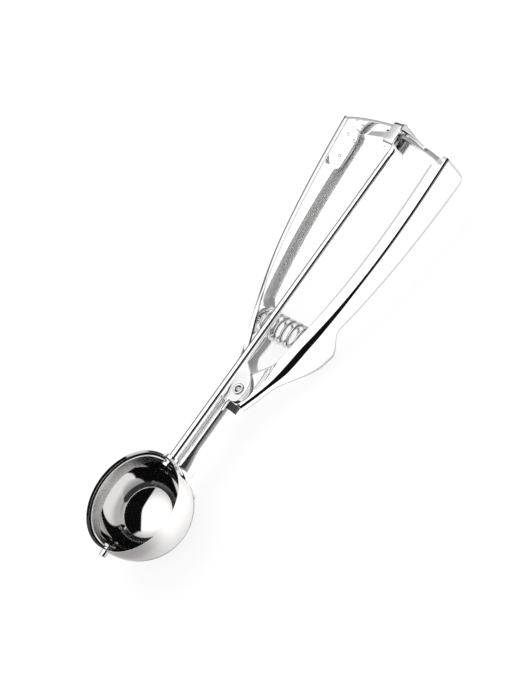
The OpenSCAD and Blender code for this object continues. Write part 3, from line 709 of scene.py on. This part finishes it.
def far_z(y, ear, top):
    """Height of the far edge: from the ear down to the finger rest, back up over its shoulder to
    a slow slope along the grip, and rounded off at the top."""
    corner = 4
    grip = mix(FAR_MID, FAR_TOP, (y - REST_END) / (GRIP_Y - REST_END))
    rest = mix(ear, REST_Z, ramp(HINGE_Y + 5.6, HINGE_Y + 31.6, y))
    d = np.clip(y - (top - corner), 0, corner)
    return (mix(rest, grip, ramp(REST_Y, REST_END, y)) + corner
            - np.sqrt(np.maximum(0, corner ** 2 - d * d)))


def handle(side, start, top, ear_n, ear_f, ear_r, lip_n, lip_f, sheet, bends):
    """A C section carried along Y: near flange, round bend, web, round bend and far flange, then
    back along the inside one sheet thickness in, both free edges rounded over. The ears are where
    the flanges' free edges follow a circle round the hinge. ear_n and ear_f are the heights of the
    near and far ear, ear_r their radius, lip_n and lip_f the widths of the flanges. The lever's
    near flange ends short of the rack. Gives the grids and the marks of the first one."""
    u = np.linspace(0, 1, 300)
    y = mix(start, top, 0.5 - 0.5 * np.cos(np.pi * u ** 0.82))
    back = back_x(y)
    if side < 0:
        back = (back + STEM_CLEAR + np.sqrt((back - STEM_CLEAR) ** 2 + 0.4)) / 2
    zn, zf = near_z(y, ear_n), far_z(y, ear_f, top)
    tall = zn - zf
    rn = mix(bends[0], bends[1], ramp(48, 88, y) * (1 - ramp(84, 142, y)))
    rn = (rn ** -5 + (tall * 0.62) ** -5) ** -0.2
    rf = np.minimum(mix(1.6, 2.4, 1 - ramp(66, 90, y)), tall * 0.3)
    drop = np.minimum(0, y - HINGE_Y)
    ear = -np.sqrt(np.maximum(0.3, ear_r ** 2 - drop ** 2))
    free = ramp(HINGE_Y, HINGE_Y + 20, y)
    en, ef = mix(ear, back - lip_n, free), mix(ear, back - lip_f, free)
    if side > 0:
        en = mix(en, back - rn - 0.2, ramp(NOTCH_Y, NOTCH_Y + 0.7, y))
    a = np.linspace(np.pi / 2, 0, 11)[None]
    run, web = np.linspace(0, 1, 5)[None, :-1], np.linspace(0, 1, 8)[None, 1:-1]

    def col(value):
        """One value for each station, as a column."""
        return value[:, None]

    def wall(inset):
        """The outer path, or the same path moved in by one sheet thickness."""
        kn, kf = np.maximum(rn - inset, 0.25), np.maximum(rf - inset, 0.25)
        bx, zt, zb = back - inset, zn - inset, zf + inset
        x = [mix(col(en), col(bx - kn), run), col(bx - kn) + col(kn) * np.cos(a),
             col(bx) + 0 * web, col(bx - kf) + col(kf) * np.sin(a),
             mix(col(bx - kf), col(ef), 1 - run[:, ::-1])]
        z = [col(zt) + 0 * run, col(zt - kn) + col(kn) * np.sin(a),
             mix(col(zt - kn), col(zb + kf), web), col(zb + kf) - col(kf) * np.cos(a),
             col(zb) + 0 * run]
        return np.concatenate(x, 1), np.concatenate(z, 1)

    ox, oz = wall(0.0)
    ix, iz = wall(sheet)
    e = np.linspace(0, np.pi, 8)[1:-1][None]
    ez = sheet / 2 * np.cos(e)
    fx, fz = col(ef) - 0.35 * np.sin(e) ** 0.7, col(zf + sheet / 2) - ez
    nx, nz = col(en) - 0.35 * np.sin(e) ** 0.7, col(zn - sheet / 2) - ez
    x = np.concatenate([nx[:, 3:], ox, fx, ix[:, ::-1], nx[:, :3]], 1)
    z = np.concatenate([nz[:, 3:], oz, fz, iz[:, ::-1], nz[:, :3]], 1)
    ring = np.stack([side * x, col(y) + 0 * x, z], -1)
    half = ring.shape[1] // 2
    shut = [np.stack([row[:half], row[::-1][:half]], 1) for row in (ring[0], ring[-1])]
    first = 3 + ox.shape[1] + 6
    last = ring.shape[1] + 1
    # The "edge" runs are partly sheared-edge dulling on the free edges, and painted shade on the
    # far bend and the last rows at the grip's top.
    marks = {"inside": [(0, first, first + 8, 1.7)],
             "edge": [(0, 0, 3, 0.5), (0, first - 6, first, 0.2), (0, last - 4, last, 0.5),
                      (0, 24, 35, 0.9), (-22, 3, first - 6, 0.9)]}
    return [np.concatenate([ring, ring[:, :1]], 1)] + shut, marks


class SCOOP_OT_handles(Operator):
    """Fixed handle and squeeze lever, pressed from sheet, with finger rests and hinge ears"""
    bl_idname = "scoop.handles"
    bl_label = "Handles"

    def execute(self, context):
        """Both grips are C sections, the lever's ears one sheet inside the fixed ones. The strap on
        the stem's side is a flat strip whose upper edge falls towards the hinge."""
        s = plan()
        bends = (s.bend, s.hinge_bend)
        step = s.sheet_t + EAR_GAP
        fixed = handle(-1, HINGE_Y - EAR_R + 0.05, GRIP_Y, EAR_TOP, EAR_LOW, EAR_R, s.fixed_lip,
                       s.far_lip, s.sheet_t, bends)
        lever = handle(1, HINGE_Y - LEVER_EAR_R - 1.1, LEVER_Y, EAR_TOP - step, EAR_LOW + step,
                       LEVER_EAR_R, s.lever_lip, s.far_lip, s.sheet_t, bends)
        for name, (grids, marks), body, node in (
                ("fixed_grip", fixed, "frame", "fixed_handle"),
                ("lever_grip", lever, "lever", "squeeze_lever")):
            piece(name, grids, "sheet steel", body, node, marks=marks,
                  holes=[(0, HINGE_Y, -25, -5, PIVOT_R)])
        y = np.linspace(52.0, 66.0, 40)
        low = -14.6 + 1.2 * (1 - ramp(52, 54.5, y)) + 0 * y
        high = mix(-5.0 - 1.6 * (1 - ramp(52, 54, y)), -10.2, ramp(57.5, 63.5, y))
        centre = np.stack([0 * y - 6.62, y, 0 * y], 1)
        strap = ribbon(centre, (0, 0, 1.0), (1.0, 0, 0), low, high, s.sheet_t, 0.3)
        piece("grip_strap", [strap], "sheet steel", "frame", "fixed_handle", marks=EDGE_SHADE)
        return {"FINISHED"}


# ---- bridge, rack and pinion ---------------------------------------------------------------


def arc(radius, angle):
    """Points on a circle round the hinge, clockwise from the shaft's line."""
    return np.stack([radius * np.sin(angle), HINGE_Y + radius * np.cos(angle), 0 * angle], -1)


class SCOOP_OT_bridge(Operator):
    """Bridge strap with its tongue, yoke arm, lug and rack keeper"""
    bl_idname = "scoop.bridge"
    bl_label = "Bridge"

    def execute(self, context):
        """Strap and tongue are one strip: straight down the fixed grip, round a small bend and
        along the circle of the hinge. The arm is a second strip that folds over the pinion and
        ends in the round lug, and the keeper is a rounded plate on its top."""
        s = plan()
        lean = back_lean(GRIP_Y - 22, GRIP_Y - 2)
        mid_r = STRAP_IN + s.strap_t / 2
        web = back_x(GRIP_Y) - s.sheet_t - 0.12 - s.yoke_t / 2
        down = np.array([np.sin(lean), -np.cos(lean), 0.0])
        corner = np.array([-web, GRIP_Y + 0.6, 0.0])
        tongue = corner + down * np.linspace(23.2, 1.6, 50)[:, None]
        turn = np.linspace(-np.arcsin((web - 2.4) / mid_r), np.arcsin(LUG_R / mid_r), 60)
        strap = arc(mid_r, turn)
        t = np.linspace(0, 1, 14)[1:-1, None]
        peak = np.array([-web + 0.1, HINGE_Y + mid_r * np.cos(turn[0]) - 0.5, 0.0])
        bow = tongue[-1] * (1 - t) ** 2 + 2 * peak * t * (1 - t) + strap[0] * t ** 2
        path = np.concatenate([tongue, bow, strap])
        ahead = unit(np.gradient(path, axis=0))
        face = np.stack([-ahead[:, 1], ahead[:, 0], 0 * ahead[:, 0]], 1)
        gone = np.concatenate([[0], np.cumsum(np.linalg.norm(np.diff(path, axis=0), axis=1))])
        tip = 1 - ramp(-1.5, 5.0, gone)
        low = mix(-11.0, -9.2, ramp(12, 22, gone)) + 5.2 * tip ** 1.5
        high = mix(1.8, 3.9, ramp(4, 20, gone)) - 5.6 * tip ** 1.5
        body = ribbon(path, (0, 0, 1.0), face, low, high, 1.5, 0.3)
        cut_slot(piece("bridge_strap", [body], "sheet steel", "frame", "bridge_yoke",
                       marks=EDGE_SHADE), mid_r)

        y_top, lug_y = HINGE_Y + mid_r, LUG_Y + 0.6
        top = YOKE_Z + s.yoke_t / 2
        bends = soft([(y_top, -1.5), (y_top, top), (lug_y, top), (lug_y, -LUG_R)], 1.7, 9)
        runs = [np.linspace(bends[i], bends[i + 1], n, endpoint=False)
                for i, n in ((0, 8), (9, 14), (18, 36))]
        line = np.concatenate([runs[0], bends[1:9], runs[1], bends[10:18], runs[2], bends[-1:]])
        line = line[np.concatenate([[True], np.linalg.norm(np.diff(line, axis=0), axis=1) > 1e-6])]
        ahead = unit(np.gradient(line, axis=0))
        z = line[:, 1]
        front = (np.abs(line[:, 0] - lug_y) < 0.05) & (z < 6)
        disc = np.sqrt(np.maximum(0.05, LUG_R ** 2 - z ** 2))
        share = np.where(front, 1 - ramp(1.0, 6.0, z), 0.0)
        lo, hi = mix(-0.5, -disc, share), mix(5.9, disc, share)
        centre = np.stack([0 * z, line[:, 0], z], 1)
        face = np.stack([0 * z, -ahead[:, 1], ahead[:, 0]], 1)
        arm = ribbon(centre, (1.0, 0, 0), face, lo, hi, s.yoke_t, 0.3)
        piece("yoke_arm", [arm], "sheet steel", "frame", "bridge_yoke", marks=EDGE_SHADE)

        a = np.linspace(-np.pi / 2, np.pi / 2, 18)
        lean, tip = np.radians(18.0), np.array((23.79, 203.75))
        nose = tip + 0.65 * np.stack([np.cos(a - lean), np.sin(a - lean)], 1)
        outline = np.concatenate([[[4.9, 207.6], [6.6, 207.55], [8.0, 207.5], [12.0, 206.3],
                                   [18.0, 204.6]], nose, [[18.0, 206.45], [12.0, 208.75],
                                   [9.4, 209.7], [8.1, 210.5], [7.4, 210.9], [4.9, 210.95]]])
        outline = soft(np.concatenate([outline, outline[:1]]), 0.5, 4)[:-1]
        plate = slab(outline, s.yoke_t, 0.3, YOKE_Z)
        piece("rack_keeper", [plate], "sheet steel", "frame", "bridge_yoke")
        return {"FINISHED"}


def cut_slot(item, mid_r):
    """Cuts the strap's small slot: a block with its edges through the strap rounded."""
    form, angle = bmesh.new(), np.radians(4.6)
    spot = arc(mid_r, np.array([-angle]))[0] + (0, 0, -1.1)
    block = Matrix.Diagonal((0.0054, 0.006, 0.0026, 1))
    bmesh.ops.create_cube(form, size=1.0, matrix=Matrix.Translation(placed(spot))
                          @ Matrix.Rotation(angle, 4, "Z") @ block)
    through = [e for e in form.edges if e.calc_length() > 0.0056
               and abs(e.verts[0].co.z - e.verts[1].co.z) < 1e-6]
    bmesh.ops.bevel(form, geom=through, offset=0.0008, segments=4, affect="EDGES")
    carve(item, form)


class SCOOP_OT_drive(Operator):
    """Toothed rack on the lever and the pinion on the shaft"""
    bl_idname = "scoop.drive"
    bl_label = "Rack and Pinion"

    def execute(self, context):
        """The rack is a strip round the hinge whose lower edge follows the teeth: level at the tips
        and roots, slanted between. Its foot is a flat strip along the lever's back. The pinion's
        outline steps out and in once for each tooth, and is drawn along the shaft with its edges
        broken."""
        pitch, play = 2 * np.pi * PITCH_R / TEETH, 0.055
        width = pitch / 4 - play
        tip, root = PITCH_R - 0.55, RACK_ROOT
        k = np.arange(-1, 6)[:, None] + 0.5
        marks = k * pitch + np.array([-width - 0.36, -width + 0.21, width - 0.21, width + 0.36])
        heights = np.tile([root, tip, tip, root], len(k))
        end = np.arcsin(34.5 / (RACK_R + RACK_T / 2)) * RACK_R
        start = -0.85 * pitch
        s_along = np.unique(np.concatenate([marks.ravel(), np.linspace(start, end, 60)]))
        bottom = np.interp(s_along, np.concatenate([[start], marks.ravel(), [end]]),
                           np.concatenate([[root], heights, [root]]))
        bottom = mix(bottom, -5.0, ramp(end - 4.4, end - 3.0, s_along))
        angle = s_along / RACK_R
        out = np.stack([np.sin(angle), np.cos(angle), 0 * angle], 1)
        high = RACK_TOP - 0.8 * (1 - ramp(start, start + 0.8, s_along))
        body = ribbon(arc(RACK_R, angle), (0, 0, 1.0), out, bottom, high, RACK_T, 0.2)
        piece("rack_strap", [body], "gear steel", "lever", "drive_rack", 25)
        lean = back_lean(GRIP_Y - 22, GRIP_Y - 2)
        u = np.linspace(0, 12.4, 30)
        foot_y = HINGE_Y + (RACK_R + RACK_T / 2) * np.cos(end / RACK_R)
        line = np.stack([34.46 - 0.6 - u * np.sin(lean), foot_y - 0.1 - u * np.cos(lean), 0 * u], 1)
        tip_cut = ramp(10.4, 12.4, u) ** 2 * 1.8
        foot = ribbon(line, (0, 0, 1.0), (np.cos(lean), -np.sin(lean), 0.0), -4.8 + tip_cut,
                      1.7 - tip_cut, 1.2, 0.25)
        piece("rack_foot", [foot], "sheet steel", "lever", "drive_rack", slot="gear_steel")

        middles = np.arange(TEETH)[:, None] * 2 * np.pi / TEETH
        half = np.pi / 2 / TEETH - play / PITCH_R
        offs = np.array([-half - 0.045, -half, -half * 0.72, -half * 0.45, half * 0.45, half * 0.72,
                         half, half + 0.045])
        rad = np.array([3.6, 4.35, 4.7, 4.94, 4.94, 4.7, 4.35, 3.6])
        ang = (middles + offs).ravel()
        rad = np.tile(rad, TEETH)
        outline = np.stack([rad * np.sin(ang), rad * np.cos(ang)], 1)[::-1]
        body = slab(outline, PINION_LEN, 0.22)
        grid = np.stack([body[..., 0], PINION_Y + body[..., 2], body[..., 1]], -1)
        piece("pinion_gear", [grid], "gear steel", "sweep", "drive_pinion", 25)
        return {"FINISHED"}


# ---- spring and welds ----------------------------------------------------------------------


class SCOOP_OT_spring(Operator):
    """Return spring and its two seats"""
    bl_idname = "scoop.spring"
    bl_label = "Return Spring"

    def execute(self, context):
        """A helix along X, its pitch a little wider at both ends than in the middle, swept by a
        round wire.
        Each seat is a disc against the web with a boss inside the coil."""
        s = plan()
        seat_h, boss_len = 2.6, 3.0
        face = back_x(SPRING_Y) - s.sheet_t - seat_h
        r = (s.coil_d - s.wire_d) / 2
        t = np.linspace(0, 1, int(TURNS * 40))
        reach = face - s.wire_d / 2 - SEATED
        close = 0.035 * np.sin(2 * np.pi * t)
        x = mix(-reach, reach, t + close * 0.5)
        a = 2 * np.pi * TURNS * t
        out = np.stack([0 * a, np.sin(a), np.cos(a)], 1)
        path = np.stack([x, SPRING_Y + r * np.sin(a), r * np.cos(a) - SPRING_Z], 1)
        coil = piece("coil_wire", [tube(path, out, s.wire_d / 2)], "spring wire", "frame",
                     "return_spring", 60, "spring_steel")
        closing = (SPRING_Y - HINGE_Y) * np.sin(np.radians(SQUEEZE_DEG))
        anchor = tuple(placed((-face, SPRING_Y, -SPRING_Z)))
        1 - closing / (2 * face)
        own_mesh(coil)
        lean = back_lean(SPRING_Y - 5, SPRING_Y + 5)
        wide, boss, deep = r - 0.1, r - 1.1, 2.4
        profile = soft([(0, -boss_len), (boss, -boss_len), (boss, 0.0), (wide, 0.0), (wide, deep),
                        (0, deep)], 0.4)
        for side, body, node in ((-1, "frame", "fixed_spring_seat"),
                                 (1, "lever", "lever_spring_seat")):
            grid = turned(profile, "x", (face, SPRING_Y, -SPRING_Z))
            back = grid[..., 0] > face + 1.2
            tilt = np.where(back, (grid[..., 1] - SPRING_Y) * np.tan(lean), 0.0)
            grid[..., 0] = (grid[..., 0] + tilt) * side
            piece(node.replace("spring_seat", "seat_disc"), [grid], "sheet steel", body, node, 40)
        return {"FINISHED"}


class SCOOP_OT_welds(Operator):
    """Spot-weld dimples on the tongue, the rack's foot and the stem"""
    bl_idname = "scoop.welds"
    bl_label = "Spot Welds"

    def execute(self, context):
        """Each dimple is a low dome with a dished middle, turned once round the axis it was
        pressed along."""
        dome = [(0, 0.12), (0.45, 0.14), (0.75, 0.3), (0.95, 0.26), (1.1, 0.0), (1.0, -0.15),
                (0, -0.15)]
        button = turned(soft(dome, 0.1), "x", steps=32)
        for name, node, body, turn in (("tongue_weld", "bridge_welds", "frame", 1),
                                       ("foot_weld", "rack_welds", "lever", -1),
                                       ("stem_weld", "stem_welds", "frame", -1)):
            grids = [button * (turn, 1, 1) + spot for spot in weld_spots(node, turn)]
            piece(name, grids, "weld steel", body, node, 50)
        return {"FINISHED"}


def weld_spots(node, turn):
    """The middle of each weld of a CAD node, on the face it is pressed into: points that an edge
    joins take the lower label of the two until each solid has one, and its box gives the place."""
    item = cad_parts[node]
    world = np.array(item.matrix_world)
    points = np.empty(len(item.data.vertices) * 3, np.float32)
    edges = np.empty(len(item.data.edges) * 2, np.int32)
    item.data.vertices.foreach_get("co", points)
    item.data.edges.foreach_get("vertices", edges)
    points = points.reshape(-1, 3) @ world[:3, :3].T + world[:3, 3] - placed((0, 0, 0))
    points *= 1000
    same = np.unique(np.round(points, 3), axis=0, return_inverse=True)[1].ravel()
    edges, label = same[edges.reshape(-1, 2)], np.arange(same.max() + 1)
    while np.ptp(label[edges], axis=1).any():
        np.minimum.at(label, edges, label[edges].min(1, keepdims=True))
    spots = []
    for solid in np.unique(label):
        part = points[label[same] == solid]
        low, high = part.min(0), part.max(0)
        spots.append((low[0] if turn > 0 else high[0], *(low + high)[1:] / 2))
    return spots


# ---- stage ---------------------------------------------------------------------------------


class SCOOP_OT_stage(Operator):
    """Camera, white paper, and a studio of white panels with the dark room between them"""
    bl_idname = "scoop.stage"
    bl_label = "Stage"

    def execute(self, context):
        """The camera's place and axes were fitted to the photograph's rim, shaft and hinge."""
        scene = context.scene
        scene.view_settings.view_transform = "Standard"
        lens = bpy.data.cameras.new("camera")
        lens.sensor_fit, lens.sensor_width, lens.sensor_height = "AUTO", 36.0, 36.0
        lens.lens, lens.clip_start, lens.clip_end = 91.56, 0.01, 20.0
        camera = bpy.data.objects.new("camera", lens)
        scene.collection.objects.link(camera)
        right, down, ahead = np.array([(0.6312, 0.5784, -0.5169), (0.3437, -0.8057, -0.4823),
                                       (-0.6946, 0.1269, -0.7065)])
        eye = np.array((0.56547, -0.10525, 0.59356))
        pose = np.eye(4)
        pose[:3, 0], pose[:3, 1], pose[:3, 2], pose[:3, 3] = right, -down, -ahead, eye
        camera.matrix_world = Matrix(pose).normalized()
        scene.camera = camera

        scene.world = bpy.data.worlds.new("studio")
        t = blank(scene.world)
        view = unit(eye - placed((0, 0, 0)))
        side = unit(right - view * (right @ view))
        seen = self.studio(t, view, side, np.cross(view, side))
        colour = t.blend(t.ray("Is Glossy Ray"), (1, 1, 1, 1), seen)
        light = t.value("ShaderNodeBackground", {}, {"Color": colour, "Strength": 1.0})
        t.node("ShaderNodeOutputWorld", {}, {"Surface": light})

        self.paper(tuple(scene.scoop_colours.paper))
        lamp = bpy.data.lights.new("soft box", "AREA")
        lamp.shape, lamp.size, lamp.energy = "DISK", 0.8, 3.0
        box = bpy.data.objects.new("soft_box", lamp)
        box.location = (-0.3, 0.2, 0.9)
        box.rotation_euler = (-0.2, -0.32, 0)
        box.visible_glossy = False
        scene.collection.objects.link(box)
        return {"FINISHED"}

    def paper(self, colour):
        """A square sheet just under the tool, white to the camera. In the steel it shows painted
        light
        and shade: lit on the camera's side of the tool, grey behind it, a painted shadow under the
        bowl, and dark far away."""
        reach, below = 1.5, -0.0002
        mesh = bpy.data.meshes.new("paper")
        mesh.from_pydata([(-reach, -reach, below), (reach, -reach, below), (reach, reach, below),
                          (-reach, reach, below)], [], [(0, 1, 2, 3)])
        floor = bpy.data.objects.new("paper", mesh)
        bpy.context.scene.collection.objects.link(floor)
        paper = bpy.data.materials.new("paper")
        t = blank(paper)
        place = t.value("ShaderNodeTexCoord", output=3)
        mirrored = t.ray("Is Glossy Ray")
        seen = t.ray("Is Camera Ray") + t.ray("Is Transmission Ray")
        grain = t.noise(place, 300.0, 4.0)
        tone = t.blend(grain * 0.02, (*colour, 1), (0.95, 0.95, 0.95, 1))
        across = t.along(place, (1, 0, 0))
        lengthwise = t.along(place, (0, 1, 0))
        front = t.step(0.06, 0.075, lengthwise) * (1 - t.step(0.100, 0.105, lengthwise))
        near = across + t.step(-0.03, 0.03, lengthwise) * 0.012 + front * 0.02
        lit = t.step(-0.140, -0.092, lengthwise) * t.step(-0.024, -0.014, near)
        # Painted shadow: within a short reach of the bowl the reflected paper turns from lit to
        # grey.
        under = (across ** 2 + ((lengthwise + 0.0923) * 0.6) ** 2) ** 0.5
        lit = lit * (1 - t.step(0.10, 0.22, across)) * t.step(0.012, 0.0175, under)
        away = t.step(0.18, 0.35, (across ** 2 + lengthwise ** 2) ** 0.5)
        unlit = t.blend(away, (0.42, 0.405, 0.40, 1), (0.04, 0.04, 0.04, 1))
        fall = t.blend(mirrored, tone, t.blend(lit, unlit, (1.3, 1.3, 1.3, 1)))
        matt = t.value("ShaderNodeBsdfDiffuse", {}, {"Color": fall})
        glow = t.value("ShaderNodeEmission", {}, {"Color": fall})
        share = seen * 0.85 + mirrored * 0.35
        both = t.value("ShaderNodeMixShader", {}, {0: share, 1: matt, 2: glow})
        t.node("ShaderNodeOutputMaterial", {}, {"Surface": both})
        mesh.materials.append(paper)

    def studio(self, t, view, side, up):
        """What the steel mirrors: degrees across and up from the direction of the camera. Big white
        panels stand on the left and above, the dark room shows through a gap that runs past the
        camera and leans over at its foot, and a grey wall lies beyond it on the right. Behind the
        tool the panels stand off the ground, higher towards the grips, with the dark below."""
        way = t.value("ShaderNodeTexCoord")
        a, b, c = (t.along(way, tuple(v)) for v in (side, up, view))
        turn = t.math_of("ARCCOSINE", c) * (180 / np.pi)
        reach = (a * a + b * b + 1e-6) ** 0.5
        x, y = a / reach * turn, b / reach * turn
        high = t.along(way, (0, 0, 1))
        lean = (8 - y + ((8 - y) ** 2 + 90) ** 0.5) * 0.34
        edge = x + 6 + lean
        far = x - t.math_of("MAXIMUM", y, 0.0) * 0.3
        room = t.step(-1.5, 1.5, edge) * (1 - t.step(25, 31, far))
        room = room * (1 - t.step(56, 63, y - t.math_of("MAXIMUM", x, 0.0) * 0.6))
        wall = t.step(24, 32, far) * (1 - t.step(72, 90, turn))
        bright = (t.step(0.55, 0.88, high) * 0.43 + 0.57) * (1 - t.step(50, 70, y) * 0.3)
        panel = t.blend(bright, (0.0, 0.0, 0.0, 1), (1.45, 1.45, 1.45, 1))
        seen = t.blend(wall, panel, (0.30, 0.295, 0.29, 1))
        seen = t.blend(room, seen, (0.004, 0.004, 0.005, 1))
        foot = high - t.step(-0.4, -0.1, t.along(way, (0, 1, 0))) * 0.17
        low = (1 - t.step(0.24, 0.32, foot)) * (1 - t.step(0.25, 0.5, t.along(way, (1, 0, 0))))
        return t.blend(low, seen, (0.06, 0.06, 0.062, 1))


class SCOOP_PT_panel(Panel):
    """The scoop's pieces and sizes"""
    bl_label = "Lever Scoop"
    bl_idname = "SCOOP_PT_panel"
    bl_space_type = "VIEW_3D"
    bl_region_type = "UI"
    bl_category = "Scoop"

    def draw(self, context):
        for step in STEPS:
            self.layout.operator(step.bl_idname)
        for group in (context.scene.scoop_sizes, context.scene.scoop_colours):
            for key in group.__annotations__:
                self.layout.prop(group, key)


STEPS = [SCOOP_OT_stage, SCOOP_OT_bowl, SCOOP_OT_sweep_blade, SCOOP_OT_saddle, SCOOP_OT_stem,
         SCOOP_OT_turned, SCOOP_OT_handles, SCOOP_OT_bridge, SCOOP_OT_drive, SCOOP_OT_spring,
         SCOOP_OT_welds]
CLASSES = [ScoopSizes, ScoopColours, *STEPS, SCOOP_PT_panel]


def register():
    for item in CLASSES:
        bpy.utils.register_class(item)
    bpy.types.Scene.scoop_sizes = PointerProperty(type=ScoopSizes)
    bpy.types.Scene.scoop_colours = PointerProperty(type=ScoopColours)


def unregister():
    del bpy.types.Scene.scoop_colours
    del bpy.types.Scene.scoop_sizes
    for item in reversed(CLASSES):
        bpy.utils.unregister_class(item)


def main():
    register()
    for step in STEPS:
        group, name = step.bl_idname.split(".")
        getattr(getattr(bpy.ops, group), name)()


if __name__ == "__main__":
    main()
